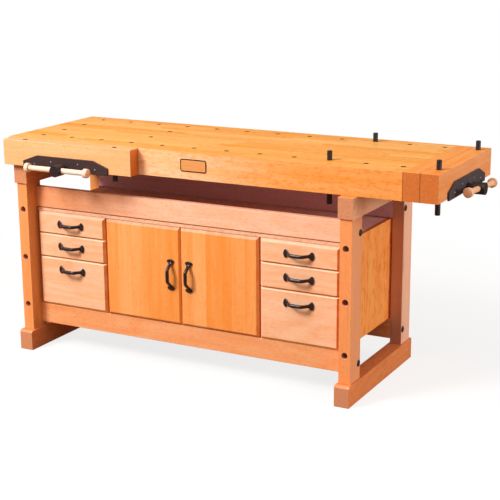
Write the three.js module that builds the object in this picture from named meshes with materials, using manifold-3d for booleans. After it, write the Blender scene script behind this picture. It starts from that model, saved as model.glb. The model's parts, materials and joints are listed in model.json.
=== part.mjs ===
// Woodworking bench with a front vise, a tail vise, two trestles and a cabinet of drawers and doors.
// Millimetres, +Z up. X runs along the bench from its left end, Y from its front face to its back,
// and the whole bench is then moved so that its origin is under the middle of its outer box.

import * as THREE from 'three';
import { ConvexGeometry } from 'three/addons/geometries/ConvexGeometry.js';
import { mergeVertices } from 'three/addons/utils/BufferGeometryUtils.js';
import Module from 'manifold-3d';

const wasm = await Module();
wasm.setup();

// Clearances
const FIT = 0.3; // between pieces that touch
const RUN = 0.4; // round a bar that slides or turns in a hole
const SLIDE = 0.5; // above and below a runner in its groove

// Bench top
const TOP_HEIGHT = 900; // floor to work surface
const TOP_LENGTH = 1731; // left end to end cap
const TOP_WIDTH = 594;
const SLAB_THICKNESS = 45; // between the thick edges
const EDGE_HEIGHT = 105; // thick edges, end cap and jaws
const FRONT_EDGE_WIDTH = 125;
const BACK_EDGE_WIDTH = 86;
const END_CAP_THICKNESS = 64;
const TONGUE_THICKNESS = 15; // slab's tongue in the end cap
const TONGUE_DEPTH = 20;
const TONGUE_SHOULDER = 25;

// Dog holes and dogs
const FIRST_HOLE = 108; // left end to first column
const HOLE_PITCH = 144.5; // along the bench
const LAST_HOLE_MARGIN = 33; // least space between the last column and the end cap
const FRONT_ROW = 94; // front face to first row
const BACK_ROW = 60.5; // back face to last row
const ROW_COUNT = 4;
const MIDDLE_ROW_COLUMNS = [0, 3]; // columns that have holes in the middle rows too
const JAW_COLUMNS = [0, 3]; // columns of the front jaw's holes
const DOG_COLUMN_FROM_END = 2; // columns past the two dogs in the top
const DOG_DIAMETER = 20;
const DOG_LENGTH = 200;
const DOG_RISE = 35; // above the work surface
const DOG_FLAT_DEPTH = 3;
const DOG_FLAT_HEIGHT = 60;
const JAW_DOG_LENGTH = 130;
const JAW_DOG_SINK = 5; // below the work surface

// Trestles
const TRESTLE_INSET = 75; // left end to the middle of the left trestle
const RIGHT_TRESTLE_INSET = 201.5; // middle of the right trestle to the end cap
const POST_WIDTH = 48;
const POST_DEPTH = 92;
const POST_OVERHANG = 26; // front posts ahead of the top's front face
const BACK_POST_INSET = 13; // back posts inside the top's back face
const BEAM_WIDTH = 62;
const BEAM_HEIGHT = 81;
const BEAM_OVERHANG = 33; // beams ahead of the top's front face
const FOOT_WIDTH = 61;
const FOOT_HEIGHT = 84;
const FOOT_OVERHANG = 25; // feet ahead of the front posts
const FOOT_BACK_OVERHANG = 12; // feet behind the back posts
const FOOT_CHAMFER = 8;
const TENON_LENGTH = 45;
const TENON_THICKNESS = 18;
const TENON_SHOULDER = 14;
const LEG_HOLE_DIAMETER = 24;
const LEG_HOLE_HEIGHTS = [195, 400, 603];

// Rails
const RAIL_THICKNESS = 30;
const RAIL_HEIGHT = 84;
const LOWER_RAIL_BASE = 104;
const UPPER_RAIL_BASE = 608;
const RAIL_TENON_LENGTH = 12;
const RAIL_TENON_THICKNESS = 14;
const RAIL_TENON_SHOULDER = 20;
const BOLT_RECESS_DIAMETER = 27; // sunk seat of a rail bolt's head
const BOLT_RECESS_DEPTH = 6;

// Cabinet case
const CASE_SIDE_GAP = 8; // between a post and the case
const CASE_TOP_GAP = 4; // between the case and the upper rail
const CASE_BACK_INSET = 3; // case's back ahead of the back rails' rear face
const PANEL_THICKNESS = 18;
const TOP_PANEL_THICKNESS = 12; // its front edge shows under the upper rail
const BACK_THICKNESS = 8;
const HOUSED_DEPTH = 5; // partitions' ends in the top and bottom panels

// Drawer fronts and doors
const FRONT_PROUD = 10; // fronts ahead of the rails
const FRONT_THICKNESS = 20;
const FRONT_GAP = 1; // between the fronts and the case
const LEFT_MARGIN = 2; // left fronts inside the case's left side
const RIGHT_MARGIN = 14.5; // right fronts inside the case's right side
const FRONT_LIFT = 1.7; // fronts above the case's underside
const FRONT_DROP = 1.5; // fronts below the case's top panel
const TOWER_WIDTH = 332;
const FRONT_SPACING = 6; // between towers and doors
const DRAWER_SPACING = 3;
const TOP_DRAWER_HEIGHT = 90.5;
const MIDDLE_DRAWER_HEIGHT = 97;
const OUTER_CHAMFER = 10;
const INNER_CHAMFER = 4;
const CHAMFER_DEPTH = 9;

// Drawer trays
const TRAY_BACK_GAP = 61.7; // between a tray and the back panel
const TRAY_WALL = 12;
const TRAY_FLOOR = 8;
const TRAY_SIDE_GAP = 1;
const TRAY_EDGE = 12; // tray inside its front, top and bottom
const TRAY_CASE_GAP = 2; // tray clear of the case's floor and ceiling
const RUNNER_HEIGHT = 10;
const RUNNER_DEPTH = 6; // runner strips inside the case's panels

// Pulls
const PULL_SPAN = 105; // between the middles of the pads
const PULL_RISE = 34; // middle of the bar above the front
const PULL_SHOULDER_RISE = 19; // at the ends of the bar's middle part
const PULL_BAR = 13;
const PULL_PAD_WIDTH = 30;
const PULL_PAD_LENGTH = 22;
const PULL_PAD_THICKNESS = 5;
const PULL_DROP = 46; // below a drawer's top edge
const DOOR_PULL_INSET = 38.5; // from the doors' meeting edge
const DOOR_PULL_RISE = 6; // above a door's middle

// Door hinges
const HINGE_STRIP_HEIGHT = 330;
const HINGE_STRIP_WIDTH = 24;
const HINGE_STRIP_THICKNESS = 3;
const HINGE_STRIP_SETBACK = 22; // behind the case's front
const HINGE_ARM_WIDTH = 13;
const HINGE_ARM_HEIGHT = 18;
const HINGE_ARM_SPACING = 270;

// Vises
const FRONT_JAW_INSET = 18; // left end of the top to the jaw
const FRONT_JAW_LENGTH = 615;
const FRONT_JAW_THICKNESS = 58.7;
const TAIL_JAW_THICKNESS = 68.7;
const VISE_TRAVEL = 162;
const PLATE_LENGTH = 408;
const PLATE_TOP_LENGTH = 272;
const FRONT_PLATE_HEIGHT = 55;
const TAIL_PLATE_HEIGHT = 59;
const PLATE_END_HEIGHT = 30;
const PLATE_THICKNESS = 8;
const PLATE_DROP = 5; // below the jaw
const SCREW_DROP = 97; // below the work surface
const SCREW_DIAMETER = 20; // over its thread
const THREAD_DEPTH = 2;
const ROD_DIAMETER = 20;
const ROD_SPACING = 150;
const ROD_SPARE = 20; // past the housing with the vise wide open
const NOTCH_MARGIN = 6; // round the rods, in the jaw, the edge and the beam
const HOUSING_LENGTH = 80;
const HOUSING_WIDTH = 230;
const HOUSING_DROP = 20; // below the screw's axis
const HUB_DIAMETER = 46;
const HUB_LENGTH = 50;
const HUB_REACH = 52; // jaw's face to the middle of the handle
const NECK_DIAMETER = 30;
const HANDLE_DIAMETER = 22;
const HANDLE_LENGTH = 306;
const KNOB_DIAMETER = 37;
const KNOB_LENGTH = 22;
const KNOB_ROUNDING = 5;
const FRONT_HANDLE_SHIFT = -6; // handle's middle from the screw's axis at rest
const TAIL_HANDLE_SHIFT = 15;
const TAIL_HANDLE_TILT = 3.3; // degrees

// Faces round a circle
const HOLE_SIDES = 24;
const HUB_SIDES = 24;
const HANDLE_SIDES = 20;
const BAR_SIDES = 8;
const PULL_STEPS = 14;
const MERGE_DISTANCE = 1e-4; // corners closer than this are one

// Heights and lines that several pieces share
const edgeBase = TOP_HEIGHT - EDGE_HEIGHT;
const slabBase = TOP_HEIGHT - SLAB_THICKNESS;
const screwHeight = TOP_HEIGHT - SCREW_DROP;
const beamBase = edgeBase - FIT - BEAM_HEIGHT;
const capFace = TOP_LENGTH + FIT + END_CAP_THICKNESS;
const backRow = TOP_WIDTH - BACK_ROW;
const rowPitch = (backRow - FRONT_ROW) / (ROW_COUNT - 1);
const holeColumns = 1 + Math.floor((TOP_LENGTH - FIRST_HOLE - LAST_HOLE_MARGIN) / HOLE_PITCH);
const dogColumn = columnX(holeColumns - 1 - DOG_COLUMN_FROM_END);
const frontPostFace = -POST_OVERHANG;
const frontPostBack = frontPostFace + POST_DEPTH;
const backPostBack = TOP_WIDTH - BACK_POST_INSET;
const backPostFace = backPostBack - POST_DEPTH;
const leftTrestle = TRESTLE_INSET;
const rightTrestle = TOP_LENGTH - RIGHT_TRESTLE_INSET;
const frontRailFace = frontPostBack - RAIL_THICKNESS;
const viseColumn = columnX((JAW_COLUMNS[0] + JAW_COLUMNS[1]) / 2);
const notchHalf = (ROD_SPACING + ROD_DIAMETER) / 2 + NOTCH_MARGIN; // round a vise's screw and rods
const notchHeights = [edgeBase - PLATE_DROP, screwHeight + ROD_DIAMETER / 2 + NOTCH_MARGIN];
const beamNotchBase = screwHeight - ROD_DIAMETER / 2 - NOTCH_MARGIN;

const caseLeft = leftTrestle + POST_WIDTH / 2 + CASE_SIDE_GAP;
const caseRight = rightTrestle - POST_WIDTH / 2 - CASE_SIDE_GAP;
const caseBase = LOWER_RAIL_BASE + RAIL_HEIGHT + FIT;
const caseTop = UPPER_RAIL_BASE - CASE_TOP_GAP;
const caseFloor = caseBase + PANEL_THICKNESS;
const caseCeiling = caseTop - TOP_PANEL_THICKNESS;
const frontFace = frontRailFace - FRONT_PROUD;
const frontBack = frontFace + FRONT_THICKNESS;
const caseFront = frontBack + FRONT_GAP;
const caseBack = backPostFace + RAIL_THICKNESS - CASE_BACK_INSET;
const frontBase = caseBase + FRONT_LIFT;
const frontTop = caseCeiling - FRONT_DROP;
const trayFront = frontBack + FIT;
const trayBack = caseBack - BACK_THICKNESS - TRAY_BACK_GAP;
const leftTower = [caseLeft + LEFT_MARGIN, caseLeft + LEFT_MARGIN + TOWER_WIDTH];
const rightTower = [caseRight - RIGHT_MARGIN - TOWER_WIDTH, caseRight - RIGHT_MARGIN];
const leftPartition = leftTower[1] + FRONT_SPACING / 2; // middle of the panel
const rightPartition = rightTower[0] - FRONT_SPACING / 2;

// Finishes
const BEECH_TOP = { color: '#efa95f', roughness: 0.42, metalness: 0 };
const BEECH_FRAME = { color: '#e49a5e', roughness: 0.48, metalness: 0 };
const BEECH_CASE = { color: '#e69e5c', roughness: 0.48, metalness: 0 };
const BEECH_FRONT = { color: '#f0b07c', roughness: 0.48, metalness: 0 };
const BEECH_DOOR = { color: '#eb9f55', roughness: 0.48, metalness: 0 };
const BEECH_TRAY = { color: '#e3c096', roughness: 0.6, metalness: 0 };
const BEECH_HANDLE = { color: '#edbb93', roughness: 0.4, metalness: 0 };
const BLACK_IRON = { color: '#2c2a2c', roughness: 0.5, metalness: 0.6 };
const DARK_PLATE = { color: '#3b383c', roughness: 0.55, metalness: 0.5 };
const STEEL = { color: '#8f9194', roughness: 0.35, metalness: 0.9 };

function columnX(column) {
  return FIRST_HOLE + column * HOLE_PITCH;
}

// Closed geometry with merged corners and no collapsed triangles, as a solid that can be joined and cut
function solid(geometry) {
  geometry.deleteAttribute('normal');
  geometry.deleteAttribute('uv');
  const merged = mergeVertices(geometry, MERGE_DISTANCE);
  const corners = merged.index.array;
  const kept = [];
  for (let i = 0; i < corners.length; i += 3) {
    const triangle = [corners[i], corners[i + 1], corners[i + 2]];
    if (new Set(triangle).size === 3) {
      kept.push(...triangle);
    }
  }
  const vertProperties = new Float32Array(merged.attributes.position.array);
  return new wasm.Manifold(new wasm.Mesh({ numProp: 3, vertProperties, triVerts: new Uint32Array(kept) }));
}

// Box between two places along each axis, given in either order
function block([x0, x1], [y0, y1], [z0, z1]) {
  const geometry = new THREE.BoxGeometry(Math.abs(x1 - x0), Math.abs(y1 - y0), Math.abs(z1 - z0));
  return solid(geometry.translate((x0 + x1) / 2, (y0 + y1) / 2, (z0 + z1) / 2));
}

function convex(points) {
  return solid(new ConvexGeometry(points.map((point) => new THREE.Vector3(...point))));
}

// Round bar from one place to another along X, Y or Z, through the other two coordinates given
function bar(axis, diameter, [from, to], [u, v], sides = HOLE_SIDES) {
  const geometry = new THREE.CylinderGeometry(diameter / 2, diameter / 2, to - from, sides);
  const middle = (from + to) / 2;
  if (axis === 'x') {
    return solid(geometry.rotateZ(-Math.PI / 2).translate(middle, u, v));
  }
  if (axis === 'y') {
    return solid(geometry.translate(u, middle, v));
  }
  return solid(geometry.rotateX(Math.PI / 2).translate(u, v, middle));
}

// Diameter of a faceted hole whose flats clear a bar by the gap, however the bar is turned
function clearHole(diameter, gap = RUN, sides = HOLE_SIDES) {
  return (diameter + 2 * gap) / Math.cos(Math.PI / sides);
}

function join(first, ...others) {
  return others.reduce((whole, other) => whole.add(other), first);
}

function cut(body, ...tools) {
  return tools.reduce((rest, tool) => rest.subtract(tool), body);
}

function piece(name, body, finish) {
  const { vertProperties, triVerts } = body.getMesh();
  const geometry = new THREE.BufferGeometry();
  geometry.setAttribute('position', new THREE.BufferAttribute(new Float32Array(vertProperties), 3));
  geometry.setIndex(new THREE.BufferAttribute(new Uint32Array(triVerts), 1));
  geometry.computeVertexNormals();
  const mesh = new THREE.Mesh(geometry, new THREE.MeshStandardMaterial(finish));
  mesh.name = name;
  return mesh;
}

function group(...members) {
  return new THREE.Group().add(...members);
}

// Top and end cap

function dogHole(x, y) {
  return bar('z', clearHole(DOG_DIAMETER), [edgeBase - PLATE_DROP, TOP_HEIGHT + PLATE_DROP], [x, y]);
}

function topHoles() {
  const holes = [];
  for (let column = 0; column < holeColumns; column += 1) {
    for (let row = 0; row < ROW_COUNT; row += 1) {
      const outerRow = row === 0 || row === ROW_COUNT - 1;
      if (outerRow || MIDDLE_ROW_COLUMNS.includes(column)) {
        holes.push(dogHole(columnX(column), FRONT_ROW + row * rowPitch));
      }
    }
  }
  return holes;
}

function tongue(gap) {
  const middle = (TOP_HEIGHT + slabBase) / 2;
  const half = TONGUE_THICKNESS / 2 + gap;
  return block(
    [TOP_LENGTH - TONGUE_DEPTH, TOP_LENGTH + TONGUE_DEPTH + gap],
    [TONGUE_SHOULDER - gap, TOP_WIDTH - TONGUE_SHOULDER + gap],
    [middle - half, middle + half],
  );
}

function benchTop() {
  const length = [0, TOP_LENGTH];
  const slab = block(length, [0, TOP_WIDTH], [slabBase, TOP_HEIGHT]);
  const edgeHeights = [edgeBase, TOP_HEIGHT];
  const frontEdge = block(length, [0, FRONT_EDGE_WIDTH], edgeHeights);
  const backEdge = block(length, [TOP_WIDTH - BACK_EDGE_WIDTH, TOP_WIDTH], edgeHeights);
  const notch = block(
    [viseColumn - notchHalf, viseColumn + notchHalf],
    [-FIT, FRONT_EDGE_WIDTH + FIT],
    notchHeights,
  );
  const body = cut(join(slab, frontEdge, backEdge, tongue(0)), notch, ...topHoles());
  const capBody = block([TOP_LENGTH + FIT, capFace], [0, TOP_WIDTH], edgeHeights);
  const capNotch = block(
    [TOP_LENGTH, capFace + FIT],
    [TOP_WIDTH / 2 - notchHalf, TOP_WIDTH / 2 + notchHalf],
    notchHeights,
  );
  return group(
    piece('bench_top', body, BEECH_TOP),
    piece('end_cap', cut(capBody, tongue(FIT), capNotch), BEECH_TOP),
  );
}

// Dogs

function dog(name, x, y, top, length, flatSide) {
  const radius = DOG_DIAMETER / 2;
  const rod = bar('z', DOG_DIAMETER, [top - length, top], [x, y]);
  const flat = block(
    [x + flatSide * (radius - DOG_FLAT_DEPTH), x + flatSide * DOG_DIAMETER],
    [y - DOG_DIAMETER, y + DOG_DIAMETER],
    [top - DOG_FLAT_HEIGHT, top + DOG_RISE],
  );
  return piece(name, cut(rod, flat), BLACK_IRON);
}

function dogs() {
  const raised = TOP_HEIGHT + DOG_RISE;
  const tailX = capFace + FIT + TAIL_JAW_THICKNESS / 2;
  const jawY = -FIT - FRONT_JAW_THICKNESS / 2;
  return group(
    dog('dog_front_row', dogColumn, FRONT_ROW, raised, DOG_LENGTH, 1),
    dog('dog_back_row', dogColumn, backRow, raised, DOG_LENGTH, 1),
    dog('dog_tail_front', tailX, FRONT_ROW, raised, DOG_LENGTH, -1),
    dog('dog_tail_back', tailX, backRow, raised, DOG_LENGTH, -1),
    dog('dog_front_jaw', columnX(JAW_COLUMNS[1]), jawY, TOP_HEIGHT - JAW_DOG_SINK, JAW_DOG_LENGTH, -1),
  );
}

// Trestles and rails

function postTenon(x, [y0, y1], [z0, z1], gap) {
  const half = TENON_THICKNESS / 2 + gap;
  return block(
    [x - half, x + half],
    [y0 + TENON_SHOULDER - gap, y1 - TENON_SHOULDER + gap],
    [z0, z1],
  );
}

// Stub tenon of a rail's end, on the inner side of a post
function railTenon(x, side, faceY, base, gap) {
  const inner = x + side * (POST_WIDTH / 2 + RAIL_TENON_LENGTH);
  const outer = x + side * (POST_WIDTH / 2 - RAIL_TENON_LENGTH - gap);
  const middle = faceY + RAIL_THICKNESS / 2;
  const half = RAIL_TENON_THICKNESS / 2 + gap;
  return block(
    [inner, outer],
    [middle - half, middle + half],
    [base + RAIL_TENON_SHOULDER - gap, base + RAIL_HEIGHT - RAIL_TENON_SHOULDER + gap],
  );
}

// One trestle, with the cuts that its beam has besides the mortises
function trestle(side, x, inward, beamCuts) {
  const postHeights = [FOOT_HEIGHT + FIT, beamBase - FIT];
  const tenonHeights = [FOOT_HEIGHT - TENON_LENGTH, beamBase + TENON_LENGTH];
  const mortiseHeights = [tenonHeights[0] - FIT, tenonHeights[1] + FIT];
  const postX = [x - POST_WIDTH / 2, x + POST_WIDTH / 2];
  const outerFace = x - inward * (POST_WIDTH / 2);
  const recess = [outerFace - BOLT_RECESS_DEPTH, outerFace + BOLT_RECESS_DEPTH];

  function post(name, depths, railFace, holes) {
    const body = join(block(postX, depths, postHeights), postTenon(x, depths, tenonHeights, 0));
    const seats = [LOWER_RAIL_BASE, UPPER_RAIL_BASE].flatMap((base) => [
      railTenon(x, inward, railFace, base, FIT),
      bar('x', BOLT_RECESS_DIAMETER, recess, [railFace + RAIL_THICKNESS / 2, base + RAIL_HEIGHT / 2]),
    ]);
    return piece(`${side}_${name}`, cut(body, ...seats, ...holes), BEECH_FRAME);
  }

  const frontDepths = [frontPostFace, frontPostBack];
  const backDepths = [backPostFace, backPostBack];
  const legHoles = LEG_HOLE_HEIGHTS.map((height) => (
    bar('y', LEG_HOLE_DIAMETER, [frontPostFace - FIT, frontPostBack + FIT], [x, height])
  ));
  const mortises = [frontDepths, backDepths].map((depths) => postTenon(x, depths, mortiseHeights, FIT));
  const beamX = [x - BEAM_WIDTH / 2, x + BEAM_WIDTH / 2];
  const beam = block(beamX, [-BEAM_OVERHANG, backPostBack], [beamBase, beamBase + BEAM_HEIGHT]);

  const footFront = frontPostFace - FOOT_OVERHANG;
  const footBack = backPostBack + FOOT_BACK_OVERHANG;
  const outline = [
    [footFront, 0],
    [footBack, 0],
    [footBack, FOOT_HEIGHT],
    [footFront + FOOT_CHAMFER, FOOT_HEIGHT],
    [footFront, FOOT_HEIGHT - FOOT_CHAMFER],
  ];
  const foot = convex(outline.flatMap(([y, z]) => [
    [x - FOOT_WIDTH / 2, y, z],
    [x + FOOT_WIDTH / 2, y, z],
  ]));
  return group(
    post('front_post', frontDepths, frontRailFace, legHoles),
    post('back_post', backDepths, backPostFace, []),
    piece(`${side}_beam`, cut(beam, ...mortises, ...beamCuts), BEECH_FRAME),
    piece(`${side}_foot`, cut(foot, ...mortises), BEECH_FRAME),
  );
}

// The right beam is notched under the screw and the rods of the tail vise
function trestles() {
  const notch = block(
    [rightTrestle - BEAM_WIDTH, rightTrestle + BEAM_WIDTH],
    [TOP_WIDTH / 2 - notchHalf, TOP_WIDTH / 2 + notchHalf],
    [beamNotchBase, edgeBase],
  );
  return group(
    trestle('left', leftTrestle, 1, []),
    trestle('right', rightTrestle, -1, [notch]),
  );
}

function rail(name, faceY, base) {
  const ends = [leftTrestle + POST_WIDTH / 2 + FIT, rightTrestle - POST_WIDTH / 2 - FIT];
  const body = block(ends, [faceY, faceY + RAIL_THICKNESS], [base, base + RAIL_HEIGHT]);
  const leftTenon = railTenon(leftTrestle, 1, faceY, base, 0);
  const rightTenon = railTenon(rightTrestle, -1, faceY, base, 0);
  return piece(name, join(body, leftTenon, rightTenon), BEECH_FRAME);
}

function rails() {
  return group(
    rail('front_upper_rail', frontRailFace, UPPER_RAIL_BASE),
    rail('front_lower_rail', frontRailFace, LOWER_RAIL_BASE),
    rail('back_upper_rail', backPostFace, UPPER_RAIL_BASE),
    rail('back_lower_rail', backPostFace, LOWER_RAIL_BASE),
  );
}

// Cabinet

// Front heights of one tower's drawers, from the top down, with their upper and lower chamfers
function towerDrawers() {
  const middleTop = frontTop - TOP_DRAWER_HEIGHT - DRAWER_SPACING;
  const bottomTop = middleTop - MIDDLE_DRAWER_HEIGHT - DRAWER_SPACING;
  const rows = [
    { name: 'top', base: frontTop - TOP_DRAWER_HEIGHT, top: frontTop },
    { name: 'middle', base: middleTop - MIDDLE_DRAWER_HEIGHT, top: middleTop },
    { name: 'bottom', base: frontBase, top: bottomTop },
  ];
  return rows.map((row) => {
    const trayBase = Math.max(row.base + TRAY_EDGE, caseFloor + TRAY_CASE_GAP);
    const trayTop = Math.min(row.top - TRAY_EDGE, caseCeiling - TRAY_CASE_GAP);
    return { ...row, trayBase, trayTop, runner: (trayBase + trayTop) / 2 };
  });
}

// Runner grooves in a panel face; side says which way the face looks along X
function runnerGrooves(faceX, side) {
  const depth = RUNNER_DEPTH + SLIDE;
  const half = RUNNER_HEIGHT / 2 + SLIDE;
  const run = [caseFront - FRONT_GAP, trayBack + TRAY_CASE_GAP];
  return towerDrawers().map(({ runner }) => block(
    [faceX - side * depth, faceX + side * depth],
    run,
    [runner - half, runner + half],
  ));
}

function cabinetCase() {
  const depths = [caseFront, caseBack];
  const heights = [caseBase, caseTop];
  const leftFace = caseLeft + PANEL_THICKNESS;
  const rightFace = caseRight - PANEL_THICKNESS;
  const between = [leftFace + FIT, rightFace - FIT];
  const backFace = caseBack - BACK_THICKNESS;
  const innerDepths = [caseFront, backFace - FIT];

  const leftSide = block([caseLeft, leftFace], depths, heights);
  const rightSide = block([rightFace, caseRight], depths, heights);
  const partitionXs = [leftPartition, rightPartition];
  const housings = partitionXs.map((x) => block(
    [x - PANEL_THICKNESS / 2 - FIT, x + PANEL_THICKNESS / 2 + FIT],
    [innerDepths[0] - FIT, innerDepths[1] + FIT],
    [caseFloor - HOUSED_DEPTH - FIT, caseCeiling + HOUSED_DEPTH + FIT],
  ));
  const partitions = partitionXs.map((x) => block(
    [x - PANEL_THICKNESS / 2, x + PANEL_THICKNESS / 2],
    innerDepths,
    [caseFloor - HOUSED_DEPTH, caseCeiling + HOUSED_DEPTH],
  ));
  const leftDrawerFace = leftPartition - PANEL_THICKNESS / 2;
  const rightDrawerFace = rightPartition + PANEL_THICKNESS / 2;
  const bottom = block(between, innerDepths, [caseBase, caseFloor]);
  const topHeights = [caseCeiling, caseTop];
  const topPanel = block(between, [frontRailFace, innerDepths[1]], topHeights);
  const topEdge = block([caseLeft, caseRight], [frontRailFace, caseFront - FIT], topHeights);
  const back = block(between, [backFace, caseBack], heights);
  return group(
    piece('case_left_side', cut(leftSide, ...runnerGrooves(leftFace, 1)), BEECH_CASE),
    piece('case_right_side', cut(rightSide, ...runnerGrooves(rightFace, -1)), BEECH_CASE),
    piece('case_left_partition', cut(partitions[0], ...runnerGrooves(leftDrawerFace, -1)), BEECH_CASE),
    piece('case_right_partition', cut(partitions[1], ...runnerGrooves(rightDrawerFace, 1)), BEECH_CASE),
    piece('case_bottom', cut(bottom, ...housings), BEECH_CASE),
    piece('case_top', cut(join(topPanel, topEdge), ...housings), BEECH_CASE),
    piece('case_back', back, BEECH_CASE),
  );
}

// Flat front whose edges are chamfered towards its face by their own widths
function chamferedFront([x0, x1], [z0, z1], { left, right, bottom, top }) {
  const shoulder = frontFace + CHAMFER_DEPTH;
  const points = [];
  for (const [edgeX, faceX] of [[x0, x0 + left], [x1, x1 - right]]) {
    for (const [edgeZ, faceZ] of [[z0, z0 + bottom], [z1, z1 - top]]) {
      points.push([faceX, frontFace, faceZ], [edgeX, shoulder, edgeZ], [edgeX, frontBack, edgeZ]);
    }
  }
  return convex(points);
}

// Arched bar with a pad at each end, lying along X with its pads on the plane y = 0
function pullBody() {
  const pads = [-1, 1].map((side) => {
    const pad = new THREE.CylinderGeometry(1, 1, PULL_PAD_THICKNESS, HOLE_SIDES);
    pad.scale(PULL_PAD_LENGTH / 2, 1, PULL_PAD_WIDTH / 2);
    return solid(pad.translate(side * PULL_SPAN / 2, -PULL_PAD_THICKNESS / 2, 0));
  });
  const foot = PULL_SPAN / 2;
  const shoulder = foot - PULL_PAD_LENGTH;
  const arch = [
    [-foot, -PULL_BAR / 2],
    [-shoulder, -PULL_SHOULDER_RISE],
    [0, -PULL_RISE],
    [shoulder, -PULL_SHOULDER_RISE],
    [foot, -PULL_BAR / 2],
  ];
  const path = new THREE.CatmullRomCurve3(arch.map(([x, y]) => new THREE.Vector3(x, y, 0)));
  const section = new THREE.Shape();
  section.absarc(0, 0, PULL_BAR / 2, 0, 2 * Math.PI);
  const tube = new THREE.ExtrudeGeometry(section, {
    extrudePath: path,
    steps: PULL_STEPS,
    curveSegments: BAR_SIDES / 2,
    bevelEnabled: false,
  });
  const behind = block([-PULL_SPAN, PULL_SPAN], [0, PULL_RISE], [-PULL_SPAN, PULL_SPAN]);
  return cut(join(solid(tube), ...pads), behind);
}

function pull(name, x, z, upright) {
  const mesh = piece(name, pullBody(), BLACK_IRON);
  mesh.position.set(x, frontFace - FIT, z);
  mesh.rotation.y = upright ? Math.PI / 2 : 0;
  return mesh;
}

function tray(name, [x0, x1], { trayBase, trayTop, runner }) {
  const sides = [x0 + TRAY_SIDE_GAP, x1 - TRAY_SIDE_GAP];
  const run = [trayFront, trayBack];
  const box = block(sides, run, [trayBase, trayTop]);
  const inside = block(
    [sides[0] + TRAY_WALL, sides[1] - TRAY_WALL],
    [run[0] + TRAY_WALL, run[1] - TRAY_WALL],
    [trayBase + TRAY_FLOOR, trayTop + TRAY_WALL],
  );
  const heights = [runner - RUNNER_HEIGHT / 2, runner + RUNNER_HEIGHT / 2];
  const strips = [
    block([x0 - RUNNER_DEPTH, sides[0] + TRAY_WALL / 2], run, heights),
    block([sides[1] - TRAY_WALL / 2, x1 + RUNNER_DEPTH], run, heights),
  ];
  return piece(name, cut(join(box, ...strips), inside), BEECH_TRAY);
}

function drawerTower(side, front, opening) {
  const members = towerDrawers().flatMap((row) => {
    const chamfers = {
      left: OUTER_CHAMFER,
      right: OUTER_CHAMFER,
      bottom: row.name === 'bottom' ? OUTER_CHAMFER : INNER_CHAMFER,
      top: row.name === 'top' ? OUTER_CHAMFER : INNER_CHAMFER,
    };
    const name = `${side}_${row.name}_drawer`;
    return [
      piece(`${name}_front`, chamferedFront(front, [row.base, row.top], chamfers), BEECH_FRONT),
      tray(`${name}_tray`, opening, row),
      pull(`${name}_pull`, (front[0] + front[1]) / 2, row.top - PULL_DROP, false),
    ];
  });
  return group(...members);
}

// Strip on a partition with two arms towards the door; side is the way from the hinge to the door's middle
function doorHinge(name, faceX, side) {
  const near = faceX + side * FIT;
  const middle = (frontBase + frontTop) / 2;
  const stripFront = caseFront + HINGE_STRIP_SETBACK;
  const strip = block(
    [near, near + side * HINGE_STRIP_THICKNESS],
    [stripFront, stripFront + HINGE_STRIP_WIDTH],
    [middle - HINGE_STRIP_HEIGHT / 2, middle + HINGE_STRIP_HEIGHT / 2],
  );
  const arms = [-1, 1].map((end) => {
    const height = middle + end * HINGE_ARM_SPACING / 2;
    return block(
      [near, near + side * HINGE_ARM_WIDTH],
      [caseFront, stripFront + HINGE_STRIP_WIDTH],
      [height - HINGE_ARM_HEIGHT / 2, height + HINGE_ARM_HEIGHT / 2],
    );
  });
  return piece(name, join(strip, ...arms), STEEL);
}

function doors(leftEdge, rightEdge) {
  const heights = [frontBase, frontTop];
  const seam = (leftEdge + rightEdge) / 2;
  const meeting = [seam - FRONT_SPACING / 2, seam + FRONT_SPACING / 2];
  const around = { left: OUTER_CHAMFER, right: OUTER_CHAMFER, bottom: OUTER_CHAMFER, top: OUTER_CHAMFER };
  const leftShape = chamferedFront([leftEdge, meeting[0]], heights, { ...around, right: INNER_CHAMFER });
  const rightShape = chamferedFront([meeting[1], rightEdge], heights, { ...around, left: INNER_CHAMFER });
  const pullHeight = (frontBase + frontTop) / 2 + DOOR_PULL_RISE;
  return group(
    piece('left_door', leftShape, BEECH_DOOR),
    piece('right_door', rightShape, BEECH_DOOR),
    pull('left_door_pull', meeting[0] - DOOR_PULL_INSET, pullHeight, true),
    pull('right_door_pull', meeting[1] + DOOR_PULL_INSET, pullHeight, true),
    doorHinge('left_door_hinge', leftPartition + PANEL_THICKNESS / 2, 1),
    doorHinge('right_door_hinge', rightPartition - PANEL_THICKNESS / 2, -1),
  );
}

function cabinet() {
  const leftOpening = [caseLeft + PANEL_THICKNESS, leftPartition - PANEL_THICKNESS / 2];
  const rightOpening = [rightPartition + PANEL_THICKNESS / 2, caseRight - PANEL_THICKNESS];
  return group(
    cabinetCase(),
    drawerTower('left', leftTower, leftOpening),
    drawerTower('right', rightTower, rightOpening),
    doors(leftTower[1] + FRONT_SPACING, rightTower[0] - FRONT_SPACING),
  );
}

// Vises. Each is made with its screw along Y, its jaw's inner face near y = 0 and its handle at the front.

function handleBody(shift) {
  const half = HANDLE_LENGTH / 2;
  const barRadius = HANDLE_DIAMETER / 2;
  const knobRadius = KNOB_DIAMETER / 2;
  const end = [
    [0, half],
    [knobRadius - KNOB_ROUNDING, half],
    [knobRadius, half - KNOB_ROUNDING],
    [knobRadius, half - KNOB_LENGTH + KNOB_ROUNDING],
    [barRadius, half - KNOB_LENGTH],
  ];
  const otherEnd = end.map(([radius, place]) => [radius, -place]);
  const profile = [...otherEnd, ...end.toReversed()];
  const points = profile.map(([radius, place]) => new THREE.Vector2(radius, place));
  const geometry = new THREE.LatheGeometry(points, HANDLE_SIDES);
  return solid(geometry.rotateZ(-Math.PI / 2).translate(shift, 0, 0));
}

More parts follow.
